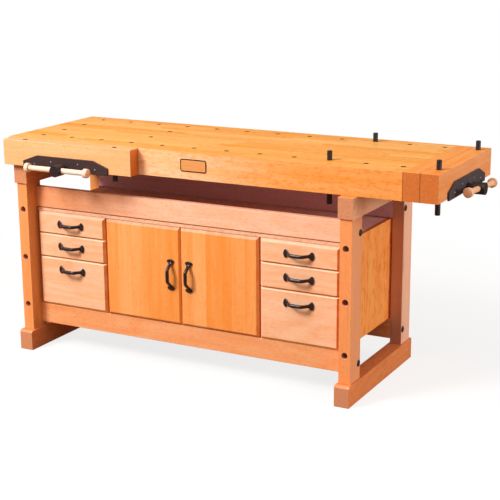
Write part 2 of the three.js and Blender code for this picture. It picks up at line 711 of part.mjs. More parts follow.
function vise(name, { jawThickness, jawSpan, dogPlaces, plateHeight, setback, handleShift, handleTilt }) {
  const jawFace = -FIT - jawThickness;
  const plateFace = jawFace - FIT - PLATE_THICKNESS;
  const handleLine = jawFace - HUB_REACH;
  const innerEnd = setback + HOUSING_LENGTH + VISE_TRAVEL + ROD_SPARE;
  const rods = [-ROD_SPACING / 2, ROD_SPACING / 2];
  const screwHole = clearHole(SCREW_DIAMETER);
  const rodHole = clearHole(ROD_DIAMETER);

  const jawBlock = block(jawSpan, [jawFace, -FIT], [edgeBase, TOP_HEIGHT]);
  const jawHoles = dogPlaces.map((x) => dogHole(x, jawFace + jawThickness / 2));
  const jawNotch = block([-notchHalf, notchHalf], [jawFace - FIT, 0], notchHeights);
  const jaw = cut(jawBlock, jawNotch, ...jawHoles);

  const plateBase = edgeBase - PLATE_DROP;
  const plate = convex([plateFace, jawFace - FIT].flatMap((y) => [
    [-PLATE_LENGTH / 2, y, plateBase],
    [PLATE_LENGTH / 2, y, plateBase],
    [PLATE_LENGTH / 2, y, plateBase + PLATE_END_HEIGHT],
    [PLATE_TOP_LENGTH / 2, y, plateBase + plateHeight],
    [-PLATE_TOP_LENGTH / 2, y, plateBase + plateHeight],
    [-PLATE_LENGTH / 2, y, plateBase + PLATE_END_HEIGHT],
  ]));
  const rodRun = [plateFace + PLATE_THICKNESS / 2, innerEnd];
  const guideRods = rods.map((x) => bar('y', ROD_DIAMETER, rodRun, [x, screwHeight]));
  const plateHole = bar('y', screwHole, [plateFace - FIT, jawFace], [0, screwHeight]);
  const guidePlate = join(cut(plate, plateHole), ...guideRods);

  const housingRun = [setback + FIT, setback + HOUSING_LENGTH];
  const housingBlock = block(
    [-HOUSING_WIDTH / 2, HOUSING_WIDTH / 2],
    housingRun,
    [screwHeight - HOUSING_DROP, slabBase - FIT],
  );
  const through = [housingRun[0] - FIT, housingRun[1] + FIT];
  const bushes = rods.map((x) => bar('y', rodHole, through, [x, screwHeight]));
  const housing = cut(housingBlock, bar('y', screwHole, through, [0, screwHeight]), ...bushes);

  const hubFront = handleLine - HUB_LENGTH / 2;
  const hubBack = handleLine + HUB_LENGTH / 2;
  const hub = bar('y', HUB_DIAMETER, [hubFront, hubBack], [0, 0], HUB_SIDES);
  const neck = bar('y', NECK_DIAMETER, [handleLine, plateFace - FIT], [0, 0], HUB_SIDES);
  const shaft = bar('y', SCREW_DIAMETER - 2 * THREAD_DEPTH, [handleLine, innerEnd], [0, 0]);
  const crossHole = bar(
    'x',
    clearHole(HANDLE_DIAMETER, RUN, HANDLE_SIDES),
    [-HUB_DIAMETER, HUB_DIAMETER],
    [handleLine, 0],
    HANDLE_SIDES,
  );
  const screw = piece(`${name}_screw`, cut(join(hub, neck, shaft), crossHole), BLACK_IRON);
  const handle = piece(`${name}_handle`, handleBody(handleShift), BEECH_HANDLE);
  handle.position.y = handleLine;
  const turning = group(screw, handle);
  turning.position.z = screwHeight;
  turning.rotation.y = THREE.MathUtils.degToRad(handleTilt);

  return group(
    piece(`${name}_jaw`, jaw, BEECH_TOP),
    piece(`${name}_guide_plate`, guidePlate, DARK_PLATE),
    piece(`${name}_housing`, housing, BLACK_IRON),
    turning,
  );
}

function frontVise() {
  const assembly = vise('front_vise', {
    jawThickness: FRONT_JAW_THICKNESS,
    jawSpan: [FRONT_JAW_INSET - viseColumn, FRONT_JAW_INSET + FRONT_JAW_LENGTH - viseColumn],
    dogPlaces: JAW_COLUMNS.map((column) => columnX(column) - viseColumn),
    plateHeight: FRONT_PLATE_HEIGHT,
    setback: FRONT_EDGE_WIDTH,
    handleShift: FRONT_HANDLE_SHIFT,
    handleTilt: 0,
  });
  assembly.position.x = viseColumn;
  return assembly;
}

function tailVise() {
  const middle = TOP_WIDTH / 2;
  const assembly = vise('tail_vise', {
    jawThickness: TAIL_JAW_THICKNESS,
    jawSpan: [-middle, middle],
    dogPlaces: [FRONT_ROW - middle, backRow - middle],
    plateHeight: TAIL_PLATE_HEIGHT,
    setback: END_CAP_THICKNESS,
    handleShift: TAIL_HANDLE_SHIFT,
    handleTilt: TAIL_HANDLE_TILT,
  });
  assembly.position.set(capFace, middle, 0);
  assembly.rotation.z = Math.PI / 2;
  return assembly;
}

const bench = group(
  benchTop(),
  dogs(),
  trestles(),
  rails(),
  cabinet(),
  frontVise(),
  tailVise(),
);

// Outer box of the bench: hub ends in front and on the right, top's left end and back face
const hubReach = HUB_REACH + HUB_LENGTH / 2;
const outerRight = capFace + FIT + TAIL_JAW_THICKNESS + hubReach;
const outerFront = -FIT - FRONT_JAW_THICKNESS - hubReach;
bench.position.set(-outerRight / 2, -(outerFront + TOP_WIDTH) / 2, 0);

export default new THREE.Group().add(bench);
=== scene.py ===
"""Looks of a woodworking bench: finishes, fittings, floor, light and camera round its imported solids.

Metres, +Z up, in the frame of the solids: X along the bench towards the tail vise, Y to the back.
"""

import json
import math

import bmesh
import bpy
import numpy as np
from bpy.props import FloatProperty, FloatVectorProperty, IntProperty, PointerProperty
from mathutils import Matrix, Vector


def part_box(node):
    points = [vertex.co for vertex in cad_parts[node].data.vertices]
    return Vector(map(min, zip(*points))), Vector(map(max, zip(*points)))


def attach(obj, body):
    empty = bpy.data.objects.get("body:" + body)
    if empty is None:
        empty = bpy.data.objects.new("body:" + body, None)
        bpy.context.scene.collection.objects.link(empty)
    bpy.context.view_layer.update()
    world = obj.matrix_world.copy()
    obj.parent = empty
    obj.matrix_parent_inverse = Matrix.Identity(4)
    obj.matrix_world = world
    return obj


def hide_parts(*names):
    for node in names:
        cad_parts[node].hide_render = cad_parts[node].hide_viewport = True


bl_info = {
    "name": "Woodworking bench looks",
    "version": (1, 0, 0),
    "blender": (4, 5, 0),
    "location": "3D View > Sidebar > Bench",
    "description": "Finishes, pulls, handles, dogs, threads, bolts and stage for the packed bench",
    "category": "Object",
}

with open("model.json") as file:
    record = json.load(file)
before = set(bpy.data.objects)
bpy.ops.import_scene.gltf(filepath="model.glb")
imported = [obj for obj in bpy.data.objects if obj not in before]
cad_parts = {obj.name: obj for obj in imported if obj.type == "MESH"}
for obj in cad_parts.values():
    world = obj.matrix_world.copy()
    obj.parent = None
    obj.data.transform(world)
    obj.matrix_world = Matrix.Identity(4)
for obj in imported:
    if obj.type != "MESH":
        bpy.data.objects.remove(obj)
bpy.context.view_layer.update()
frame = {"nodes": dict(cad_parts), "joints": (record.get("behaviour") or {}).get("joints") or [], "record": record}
NODES = frame["nodes"]
JOINTS = {joint["name"]: joint for joint in frame["joints"]}
BODY_OF = {node: body for body, nodes in frame["record"]["behaviour"]["bodies"].items() for node in nodes}

X_AXIS, Y_AXIS, Z_AXIS = 0, 1, 2
SIDES = ("left", "right")
VISES = ("front", "tail")
DRAWERS = [f"{side}_{row}_drawer" for side in SIDES for row in ("top", "middle", "bottom")]
DOORS = [f"{side}_door" for side in SIDES]
RAILS = [f"{face}_{level}_rail" for face in ("front", "back") for level in ("upper", "lower")]
CASE_PANELS = ["case_left_partition", "case_right_partition", "case_bottom", "case_back"]
DOG_FLAT_SIDE = {
    "dog_front_row": 1,
    "dog_back_row": 1,
    "dog_tail_front": -1,
    "dog_tail_back": -1,
    "dog_front_jaw": -1,
}


def shade(red, green, blue):
    """Linear colour of a screen colour given from 0 to 255."""
    levels = (channel / 255 for channel in (red, green, blue))
    return tuple(v / 12.92 if v <= 0.04045 else ((v + 0.055) / 1.055) ** 2.4 for v in levels)


def length_property(name, words, default):
    return FloatProperty(name=name, description=words, default=default, unit="LENGTH", precision=4)


def colour_property(name, words, default):
    return FloatVectorProperty(name=name, description=words, default=default, subtype="COLOR", min=0, max=1)


class BenchSizes(bpy.types.PropertyGroup):
    """Sizes of the fittings and edges that the looks add."""

    arris: length_property("Arris", "Rounding of the wood's edges", 0.0015)
    top_arris: length_property("Top arris", "Rounding of the top's and the front jaw's edges", 0.0025)
    close_arris: length_property("Close arris", "Rounding where end cap and tail jaw meet", 0.0008)
    metal_arris: length_property("Metal arris", "Rounding of plates and castings", 0.001)
    pull_bar_width: length_property("Pull bar width", "Across the middle of a pull", 0.015)
    pull_bar_thickness: length_property("Pull bar thickness", "Through the middle of a pull", 0.012)
    pull_neck_width: length_property("Pull neck width", "Across a pull beside its pads", 0.0132)
    pull_pad_swell: length_property("Pull pad swell", "A pad's width beyond the plain one", 0.004)
    pull_sink: length_property("Pull sink", "The bow's middle below the plain one's peak", 0.004)
    pull_pad_thickness: length_property("Pull pad thickness", "Through the pad of a pull", 0.006)
    handle_bar: length_property("Handle bar", "Diameter of a vise handle's bar", 0.022)
    knob_length: length_property("Knob length", "Along the knob of a vise handle", 0.022)
    knob_dome: length_property("Knob dome", "Rise of a knob's end", 0.005)
    knob_shoulder: length_property("Knob shoulder", "Length of a knob's rounded inner side", 0.0025)
    dog_flat_depth: length_property("Dog flat depth", "Cut off the side of a dog", 0.003)
    dog_flat_height: length_property("Dog flat height", "Down from the top of a dog", 0.06)
    dog_chamfer: length_property("Dog chamfer", "At both ends of a dog", 0.0012)
    thread_root: length_property("Thread root", "Diameter at the bottom of a vise screw's thread", 0.0161)
    thread_crest: length_property("Thread crest", "Diameter over a vise screw's thread", 0.02)
    thread_lead: length_property("Thread lead", "Travel of a vise in one turn", 0.006)
    bolt_head: length_property("Bolt head", "Diameter of a rail bolt's head", 0.026)
    bolt_rise: length_property("Bolt rise", "Dome of a rail bolt ahead of its post", 0.004)
    bolt_seat: length_property("Bolt seat", "Depth of a rail bolt's seat", 0.006)
    plate_screw: length_property("Plate screw", "Diameter of a screw head on a vise plate", 0.008)
    plate_screw_rise: length_property("Plate screw rise", "Dome of a screw head on a vise plate", 0.0018)
    hinge_cup: length_property("Hinge cup", "Diameter of a hinge's cup on a door", 0.035)
    hinge_cup_inset: length_property("Hinge cup inset", "Door's edge to the middle of a hinge cup", 0.041)
    hinge_cup_flange: length_property("Hinge cup flange", "Thickness of a hinge cup's flange", 0.0008)
    badge_width: length_property("Badge width", "Along the blank badge on the apron", 0.116)
    badge_height: length_property("Badge height", "Up the blank badge on the apron", 0.05)
    badge_corner: length_property("Badge corner", "Corner radius of the blank badge", 0.009)
    badge_rim: length_property("Badge rim", "Width of the blank badge's dark rim", 0.0044)
    badge_thickness: length_property("Badge thickness", "The blank badge ahead of the apron", 0.0012)
    badge_from_left: length_property("Badge place", "Top's left end to the middle of the badge", 0.881)
    badge_drop: length_property("Badge drop", "Work surface to the middle of the badge", 0.051)


class BenchColours(bpy.types.PropertyGroup):
    """Colours of the finishes, each wood with its pale and its deep tone."""

    top_pale: colour_property("Top, pale", "Pale tone of the top", shade(255, 196, 114))
    top_deep: colour_property("Top, deep", "Deep tone of the top", shade(242, 149, 23))
    apron_pale: colour_property("Apron, pale", "Pale tone of the apron's left part", shade(255, 215, 193))
    apron_deep: colour_property("Apron, deep", "Deep tone of the apron's left part", shade(253, 186, 107))
    edge_pale: colour_property("Edge, pale", "Pale tone of the apron's right part", shade(255, 182, 115))
    edge_deep: colour_property("Edge, deep", "Deep tone of the apron's right part", shade(250, 145, 32))
    jaw_pale: colour_property("Front jaw, pale", "Pale tone of the front jaw", shade(255, 197, 149))
    jaw_deep: colour_property("Front jaw, deep", "Deep tone of the front jaw", shade(248, 167, 94))
    jaw_end: colour_property("Front jaw, end", "Sawn ends of the front jaw", shade(223, 125, 46))
    cross_pale: colour_property("Cross wood, pale", "Pale tone of end cap and tail jaw", shade(255, 174, 86))
    cross_deep: colour_property("Cross wood, deep", "Deep tone of end cap and tail jaw", shade(245, 136, 44))
    cross_end: colour_property("Cross wood, end", "Sawn ends of end cap and tail jaw", shade(218, 119, 49))
    post_pale: colour_property("Posts, pale", "Pale tone of the posts", shade(255, 170, 111))
    post_deep: colour_property("Posts, deep", "Deep tone of the posts", shade(250, 146, 74))
    back_pale: colour_property("Back posts, pale", "Pale tone of the back posts", shade(255, 208, 181))
    back_deep: colour_property("Back posts, deep", "Deep tone of the back posts", shade(253, 180, 142))
    beam_pale: colour_property("Beams, pale", "Pale tone of beams and feet", shade(244, 160, 104))
    beam_deep: colour_property("Beams, deep", "Deep tone of beams and feet", shade(230, 123, 63))
    beam_end: colour_property("Beams, end", "Sawn ends of beams and feet", shade(219, 146, 104))
    rail_pale: colour_property("Upper rails, pale", "Pale tone of the upper rails", shade(255, 206, 177))
    rail_deep: colour_property("Upper rails, deep", "Deep tone of the upper rails", shade(250, 177, 135))
    base_pale: colour_property("Lower rails, pale", "Pale tone of the lower rails", shade(252, 186, 135))
    base_deep: colour_property("Lower rails, deep", "Deep tone of the lower rails", shade(245, 149, 85))
    front_pale: colour_property("Drawers, pale", "Pale tone of the drawer fronts", shade(255, 206, 170))
    front_deep: colour_property("Drawers, deep", "Deep tone of the drawer fronts", shade(251, 175, 124))
    door_pale: colour_property("Doors, pale", "Pale tone of the doors", shade(255, 182, 115))
    door_deep: colour_property("Doors, deep", "Deep tone of the doors", shade(249, 149, 63))
    panel_pale: colour_property("Side panels, pale", "Pale tone of the side panels", shade(255, 181, 100))
    panel_deep: colour_property("Side panels, deep", "Deep tone of the side panels", shade(255, 143, 60))
    strip_pale: colour_property("Case edge, pale", "Pale tone of the case's top panel", shade(255, 208, 174))
    strip_deep: colour_property("Case edge, deep", "Deep tone of the case's top panel", shade(240, 178, 140))
    tray_pale: colour_property("Trays, pale", "Pale tone of the drawer trays", shade(240, 208, 166))
    tray_deep: colour_property("Trays, deep", "Deep tone of the drawer trays", shade(222, 180, 130))
    handle_pale: colour_property("Handles, pale", "Pale tone of the front handle", shade(255, 230, 210))
    handle_deep: colour_property("Handles, deep", "Deep tone of the front handle", shade(250, 203, 172))
    handle_end: colour_property("Handles, end", "Ends of the front handle", shade(250, 186, 142))
    grip_pale: colour_property("Grip, pale", "Pale tone of the tail handle", shade(250, 204, 162))
    grip_deep: colour_property("Grip, deep", "Deep tone of the tail handle", shade(238, 174, 128))
    grip_end: colour_property("Grip, end", "Ends of the tail handle", shade(252, 190, 146))
    # Painted shade on the drawers' bevels that look right.
    bevel_pale: colour_property("Bevels, pale", "Pale tone of the drawers' right side", shade(224, 130, 54))
    bevel_deep: colour_property("Bevels, deep", "Deep tone of the drawers' right side", shade(196, 102, 36))
    # Painted shade on the bevels turned down.
    shaded_underside_pale: colour_property("Undersides, pale", "Pale tone of bevels turned down", shade(255, 196, 96))
    shaded_underside_deep: colour_property("Undersides, deep", "Deep tone of bevels turned down", shade(250, 168, 66))
    # Painted light: the drawers' bevels turned up take their own tones for how the light falls on them.
    crest_pale: colour_property("Crests, pale", "Pale tone of bevels turned up", shade(250, 190, 158))
    crest_deep: colour_property("Crests, deep", "Deep tone of bevels turned up", shade(238, 170, 134))
    # Painted light on the lower drawers' upper bevels, against the shade in the gaps.
    inset_pale: colour_property("Insets, pale", "Pale tone of the lower drawers' tops", shade(255, 228, 198))
    inset_deep: colour_property("Insets, deep", "Deep tone of the lower drawers' tops", shade(252, 212, 178))
    ridge_pale: colour_property("Door tops, pale", "Pale tone of the doors' tops", shade(226, 174, 138))
    ridge_deep: colour_property("Door tops, deep", "Deep tone of the doors' tops", shade(190, 138, 100))
    # Painted shade on the doors' bevels that look right or down.
    rim_pale: colour_property("Door rims, pale", "Pale tone of the right door's side", shade(250, 144, 52))
    rim_deep: colour_property("Door rims, deep", "Deep tone of the right door's side", shade(230, 118, 36))
    # Painted light on the left door's side in the gap between the doors.
    parting_light_pale: colour_property("Parting, pale", "Pale tone of the left door's side", shade(255, 198, 118))
    parting_light_deep: colour_property("Parting, deep", "Deep tone of the left door's side", shade(252, 178, 94))
    # Painted light: the right sides of the end cap and tail jaw take tones for the light from the right.
    side_pale: colour_property("Jaw side, pale", "Pale tone of the tail jaw's side", shade(247, 173, 121))
    side_deep: colour_property("Jaw side, deep", "Deep tone of the tail jaw's side", shade(235, 140, 68))
    # Painted light on the right beam's right side, against the shade beneath the top.
    flank_light_pale: colour_property("Flanks, pale", "Pale tone of the right beam's side", shade(255, 208, 168))
    flank_light_deep: colour_property("Flanks, deep", "Deep tone of the right beam's side", shade(255, 183, 141))
    # Painted light: the right post's right side takes tones for the light from the right.
    cheek_light_pale: colour_property("Cheek, pale", "Pale tone of the right post's side", shade(246, 173, 125))
    cheek_light_deep: colour_property("Cheek, deep", "Deep tone of the right post's side", shade(241, 153, 102))
    # Painted shade on the left post's inner side and on the back posts' fronts.
    dim_pale: colour_property("Dim side, pale", "Pale tone of the left post's side", shade(241, 165, 97))
    dim_deep: colour_property("Dim side, deep", "Deep tone of the left post's side", shade(231, 144, 75))
    # Painted shade of the front jaw on the upper rails' left end.
    warm_shade_pale: colour_property("Warm rail, pale", "Pale tone of the rail's left end", shade(253, 178, 130))
    warm_shade_deep: colour_property("Warm rail, deep", "Deep tone of the rail's left end", shade(244, 153, 101))
    # Painted shade: a purplish tint for the back rail's inner side, in the shade beneath the top.
    hollow_shade_pale: colour_property("Hollow, pale", "Pale tone of the back rail inside", shade(248, 206, 224))
    hollow_shade_deep: colour_property("Hollow, deep", "Deep tone of the back rail inside", shade(234, 186, 204))
    # Painted shade: a purplish tint for the case's upper face, in the shade beneath the top.
    shelf_shade_pale: colour_property("Shelf, pale", "Pale tone of the case's upper face", shade(255, 216, 214))
    shelf_shade_deep: colour_property("Shelf, deep", "Deep tone of the case's upper face", shade(246, 196, 194))
    shade_pale: colour_property("Shade, pale", "Pale tone of the shaded back post", shade(223, 168, 145))
    shade_deep: colour_property("Shade, deep", "Deep tone of the shaded back post", shade(204, 144, 119))
    sawn: colour_property("Sawn ends", "Sawn ends of the other woods", shade(214, 126, 70))
    # Painted shade: the dog holes' walls take this dark colour in place of their shade, and the seams' dark joint
    # lines share it.
    shadow: colour_property("Dog holes", "Walls of the dog holes", shade(44, 14, 6))
    # Painted shade: the leg holes' walls take this colour in place of their shade.
    bore_shade: colour_property("Leg holes", "Walls of the holes in the front posts", shade(200, 136, 122))
    iron: colour_property("Black iron", "Pulls, dogs and castings", shade(32, 21, 26))
    front_plate: colour_property("Front plate", "Paint of the front vise's plate", shade(66, 46, 47))
    # Painted light: the tail plate's paint is given lighter than the front plate's for the light from the right.
    tail_plate: colour_property("Tail plate", "Paint of the tail vise's plate", shade(74, 66, 74))
    steel: colour_property("Steel", "Guide rods, threads and hinges", shade(150, 150, 150))
    badge: colour_property("Badge", "Face of the blank badge", shade(240, 160, 90))
    badge_rim: colour_property("Badge rim", "Rim of the blank badge", shade(48, 26, 14))


class BenchStage(bpy.types.PropertyGroup):
    """Floor, light and camera."""

    floor_radius: length_property("Floor radius", "Reach of the floor", 30.0)
    floor_fade: length_property("Floor fade", "Distance at which the floor is plain white", 2.6)
    floor_shade: colour_property("Floor", "Colour of the floor", shade(250, 250, 250))
    floor_bounce: colour_property("Floor bounce", "Colour that the floor throws back", (0.24, 0.17, 0.12))
    floor_glow: FloatProperty(name="Floor glow", description="Share of white", default=0.8, min=0, max=1)
    sky: colour_property("Sky", "Colour and strength of the even light", (0.4, 0.33, 0.27))
    key: FloatProperty(name="Key lamp", description="Power of the main lamp", default=345, unit="POWER")
    fill: FloatProperty(name="Fill lamp", description="Power of the right lamp", default=120, unit="POWER")
    over: FloatProperty(name="Upper lamp", description="Power of the top lamp", default=58, unit="POWER")
    lens: FloatProperty(name="Lens", description="Focal length", default=0.09038, unit="CAMERA")
    camera_place: FloatVectorProperty(
        name="Camera place",
        description="Where the camera stands",
        default=(2.31435, -4.287, 1.757),
        subtype="TRANSLATION",
        unit="LENGTH",
    )
    camera_turn: FloatVectorProperty(
        name="Camera turn",
        description="Yaw to the left, pitch down and roll",
        default=(math.radians(28.04), math.radians(14.75), math.radians(-0.393)),
        unit="ROTATION",
    )


# Shader node helpers


def add_node(tree, kind, inputs=None, **settings):
    """New node whose inputs are linked to sockets or set to values."""
    made = tree.nodes.new(kind)
    for key, value in settings.items():
        setattr(made, key, value)
    for key, value in (inputs or {}).items():
        if isinstance(value, bpy.types.NodeSocket):
            tree.links.new(value, made.inputs[key])
        else:
            made.inputs[key].default_value = value
    return made


def calc(tree, operation, *values):
    inputs = dict(enumerate(values))
    return add_node(tree, "ShaderNodeMath", inputs, operation=operation).outputs[0]


def blend(tree, factor, first, second, mode="MIX"):
    inputs = {0: factor, 6: first, 7: second}
    settings = {"data_type": "RGBA", "blend_type": mode, "clamp_factor": True}
    return add_node(tree, "ShaderNodeMix", inputs, **settings).outputs[2]


def stretch(tree, place, scales):
    inputs = {0: place, 1: scales}
    return add_node(tree, "ShaderNodeVectorMath", inputs, operation="MULTIPLY").outputs[0]


def noise(tree, place, detail, roughness=0.5):
    inputs = {"Vector": place, "Scale": 1.0, "Detail": detail, "Roughness": roughness}
    return add_node(tree, "ShaderNodeTexNoise", inputs).outputs["Fac"]


def ramp(tree, value, low, high):
    """Smooth step of a value from 0 at low to 1 at high."""
    inputs = {"Value": value, 1: low, 2: high}
    return add_node(tree, "ShaderNodeMapRange", inputs, interpolation_type="SMOOTHSTEP").outputs[0]


def new_group(name, inputs, outputs):
    """Empty shader group with its sockets, and its input and output nodes."""
    tree = bpy.data.node_groups.new(name, "ShaderNodeTree")
    for socket_name, kind, default in inputs:
        socket = tree.interface.new_socket(socket_name, in_out="INPUT", socket_type=f"NodeSocket{kind}")
        if default is not None:
            socket.default_value = default
    for socket_name, kind in outputs:
        tree.interface.new_socket(socket_name, in_out="OUTPUT", socket_type=f"NodeSocket{kind}")
    return tree, tree.nodes.new("NodeGroupInput").outputs, tree.nodes.new("NodeGroupOutput")


def beech_grain():
    """Beech: staves of random tint, long streaks, arched figure, mottled patches and short dark flecks.

    Place is metres along the grain, across the staves and through them. The tone between pale and deep
    is one half plus the weighted departures of streak, figure and stave tint from their middles.
    """
    name = "beech_grain"
    if name in bpy.data.node_groups:
        return bpy.data.node_groups[name]
    tree, given, result = new_group(
        name,
        [
            ("Place", "Vector", None),
            ("Pale", "Color", (1, 1, 1, 1)),
            ("Deep", "Color", (0.5, 0.3, 0.1, 1)),
            ("End Tone", "Color", (0.4, 0.2, 0.07, 1)),
            ("Stave Width", "Float", 0.05),
            ("Stave Length", "Float", 0.6),
            ("Stave Tint", "Float", 0.5),
            ("Streak", "Float", 0.5),
            ("Figure", "Float", 0.2),
            ("Fleck", "Float", 0.5),
            ("Mottle", "Float", 0.0),
            ("Mottle Size", "Float", 1.0),
            ("End Grain", "Float", 0.0),
        ],
        [("Color", "Color"), ("Roughness", "Float"), ("Height", "Float")],
    )
    parts = add_node(tree, "ShaderNodeSeparateXYZ", {0: given["Place"]}).outputs
    stave = calc(tree, "FLOOR", calc(tree, "DIVIDE", parts[1], given["Stave Width"]))
    stagger = add_node(tree, "ShaderNodeTexWhiteNoise", {"W": stave}, noise_dimensions="1D").outputs["Value"]
    run = calc(tree, "DIVIDE", parts[0], given["Stave Length"])
    piece = calc(tree, "FLOOR", calc(tree, "MULTIPLY_ADD", stagger, 7.0, run))
    cell = add_node(tree, "ShaderNodeCombineXYZ", {0: stave, 1: piece}).outputs[0]
    chance = add_node(tree, "ShaderNodeTexWhiteNoise", {"Vector": cell}, noise_dimensions="3D").outputs
    shift = stretch(tree, chance["Color"], (9.0, 4.0, 4.0))
    place = add_node(tree, "ShaderNodeVectorMath", {0: given["Place"], 1: shift}, operation="ADD").outputs[0]

    streak = noise(tree, stretch(tree, place, (1.4, 34.0, 34.0)), 4.0, 0.6)
    line = noise(tree, stretch(tree, place, (6.0, 420.0, 420.0)), 2.0)
    swell = noise(tree, stretch(tree, place, (1.5, 7.0, 7.0)), 1.0, 0.4)
    rings = calc(tree, "SINE", calc(tree, "MULTIPLY_ADD", swell, 62.0, calc(tree, "MULTIPLY", line, 1.2)))
    fleck = ramp(tree, noise(tree, stretch(tree, place, (260.0, 1300.0, 1300.0)), 0.0), 0.6, 0.7)
    spread = calc(tree, "DIVIDE", 1.0, given["Mottle Size"])
    sized = {0: stretch(tree, place, (48.0, 150.0, 150.0)), "Scale": spread}
    spots = add_node(tree, "ShaderNodeVectorMath", sized, operation="SCALE").outputs[0]
    mottle = ramp(tree, noise(tree, spots, 2.0, 0.6), 0.48, 0.68)

    tone = calc(tree, "MULTIPLY_ADD", calc(tree, "SUBTRACT", streak, 0.5), given["Streak"], 0.5)
    tint = calc(tree, "SUBTRACT", chance["Value"], 0.5)
    tone = calc(tree, "MULTIPLY_ADD", tint, given["Stave Tint"], tone)
    tone = calc(tree, "MULTIPLY_ADD", calc(tree, "MULTIPLY", rings, 0.5), given["Figure"], tone)
    tone = calc(tree, "MULTIPLY_ADD", calc(tree, "SUBTRACT", line, 0.5), 0.35, tone)
    colour = blend(tree, tone, given["Pale"], given["Deep"])
    darkened = blend(tree, 1.0, colour, (0.66, 0.52, 0.42, 1), "MULTIPLY")
    colour = blend(tree, calc(tree, "MULTIPLY", fleck, given["Fleck"]), colour, darkened)
    spotted = blend(tree, 1.0, colour, (0.87, 0.71, 0.55, 1), "MULTIPLY")
    colour = blend(tree, calc(tree, "MULTIPLY", mottle, given["Mottle"]), colour, spotted)
    pores = ramp(tree, noise(tree, stretch(tree, place, (300.0, 300.0, 120.0)), 3.0, 0.7), 0.4, 0.7)
    ruddy = blend(tree, 1.0, given["End Tone"], (0.72, 0.62, 0.56, 1), "MULTIPLY")
    sawn = blend(tree, calc(tree, "MULTIPLY", pores, 0.7), given["End Tone"], ruddy)
    colour = blend(tree, given["End Grain"], colour, sawn)
    roughness = calc(tree, "MULTIPLY_ADD", streak, 0.14, 0.36)
    roughness = calc(tree, "MULTIPLY_ADD", given["End Grain"], 0.16, roughness)
    height = calc(tree, "MULTIPLY_ADD", fleck, -0.6, line)
    for socket, value in (("Color", colour), ("Roughness", roughness), ("Height", height)):
        tree.links.new(value, result.inputs[socket])
    return tree


def box_mask():
    """Mask of a box: one where each coordinate is nearer to the box's middle than half its size."""
    name = "box_mask"
    if name in bpy.data.node_groups:
        return bpy.data.node_groups[name]
    tree, given, result = new_group(
        name,
        [("Place", "Vector", None), ("Middle", "Vector", None), ("Half", "Vector", (1, 1, 1))],
        [("Mask", "Float")],
    )
    inputs = {0: given["Place"], 1: given["Middle"]}
    away = add_node(tree, "ShaderNodeVectorMath", inputs, operation="SUBTRACT").outputs[0]
    away = add_node(tree, "ShaderNodeVectorMath", {0: away}, operation="ABSOLUTE").outputs[0]
    inputs = {0: away, 1: given["Half"]}
    share = add_node(tree, "ShaderNodeVectorMath", inputs, operation="DIVIDE").outputs[0]
    parts = add_node(tree, "ShaderNodeSeparateXYZ", {0: share}).outputs
    most = calc(tree, "MAXIMUM", calc(tree, "MAXIMUM", parts[0], parts[1]), parts[2])
    tree.links.new(calc(tree, "LESS_THAN", most, 1.0), result.inputs["Mask"])
    return tree


def arris_wear():
    """Mask of rounded edges: one where the surface looks along none of the three axes, broken by noise."""
    name = "arris_wear"
    if name in bpy.data.node_groups:
        return bpy.data.node_groups[name]
    tree, given, result = new_group(
        name,
        [("Normal", "Vector", None), ("Place", "Vector", None)],
        [("Mask", "Float")],
    )
    facing = add_node(tree, "ShaderNodeVectorMath", {0: given["Normal"]}, operation="ABSOLUTE").outputs[0]
    parts = add_node(tree, "ShaderNodeSeparateXYZ", {0: facing}).outputs
    most = calc(tree, "MAXIMUM", calc(tree, "MAXIMUM", parts[0], parts[1]), parts[2])
    edge = calc(tree, "SUBTRACT", 1.0, ramp(tree, most, 0.86, 0.985))
    broken = ramp(tree, noise(tree, stretch(tree, given["Place"], (28.0, 28.0, 28.0)), 3.0), 0.3, 0.62)
    tree.links.new(calc(tree, "MULTIPLY", edge, broken), result.inputs["Mask"])
    return tree


def iron_skin():
    """Cast or forged skin: soft dents and a fine grain as height, with patches that shine more."""
    name = "iron_skin"
    if name in bpy.data.node_groups:
        return bpy.data.node_groups[name]
    tree, given, result = new_group(
        name,
        [("Place", "Vector", None), ("Dents", "Float", 220.0), ("Grain", "Float", 1500.0)],
        [("Height", "Float"), ("Roughness", "Float"), ("Patch", "Float")],
    )

    def sized(scale):
        inputs = {0: given["Place"], "Scale": scale}
        return add_node(tree, "ShaderNodeVectorMath", inputs, operation="SCALE").outputs[0]

    dents = noise(tree, sized(given["Dents"]), 1.0)
    grain = noise(tree, sized(given["Grain"]), 2.0)
    patch = noise(tree, sized(45.0), 3.0)
    height = calc(tree, "MULTIPLY_ADD", grain, 0.3, dents)
    roughness = calc(tree, "MULTIPLY_ADD", patch, 0.24, 0.38)
    for socket, value in (("Height", height), ("Roughness", roughness), ("Patch", patch)):
        tree.links.new(value, result.inputs[socket])
    return tree


def new_material(name):
    """Material with nodes, its Principled shader and its own Object place and normal."""
    made = bpy.data.materials.new(name)
    made.use_nodes = True
    tree = made.node_tree
    where = add_node(tree, "ShaderNodeTexCoord").outputs
    return made, tree, tree.nodes["Principled BSDF"], where


def place_group(tree, group, inputs):
    made = tree.nodes.new("ShaderNodeGroup")
    made.node_tree = group
    for key, value in inputs.items():
        if isinstance(value, bpy.types.NodeSocket):
            tree.links.new(value, made.inputs[key])
        else:
            made.inputs[key].default_value = value
    return made.outputs


def bump(tree, height, distance):
    inputs = {"Strength": 1.0, "Distance": distance, "Height": height}
    return add_node(tree, "ShaderNodeBump", inputs).outputs["Normal"]


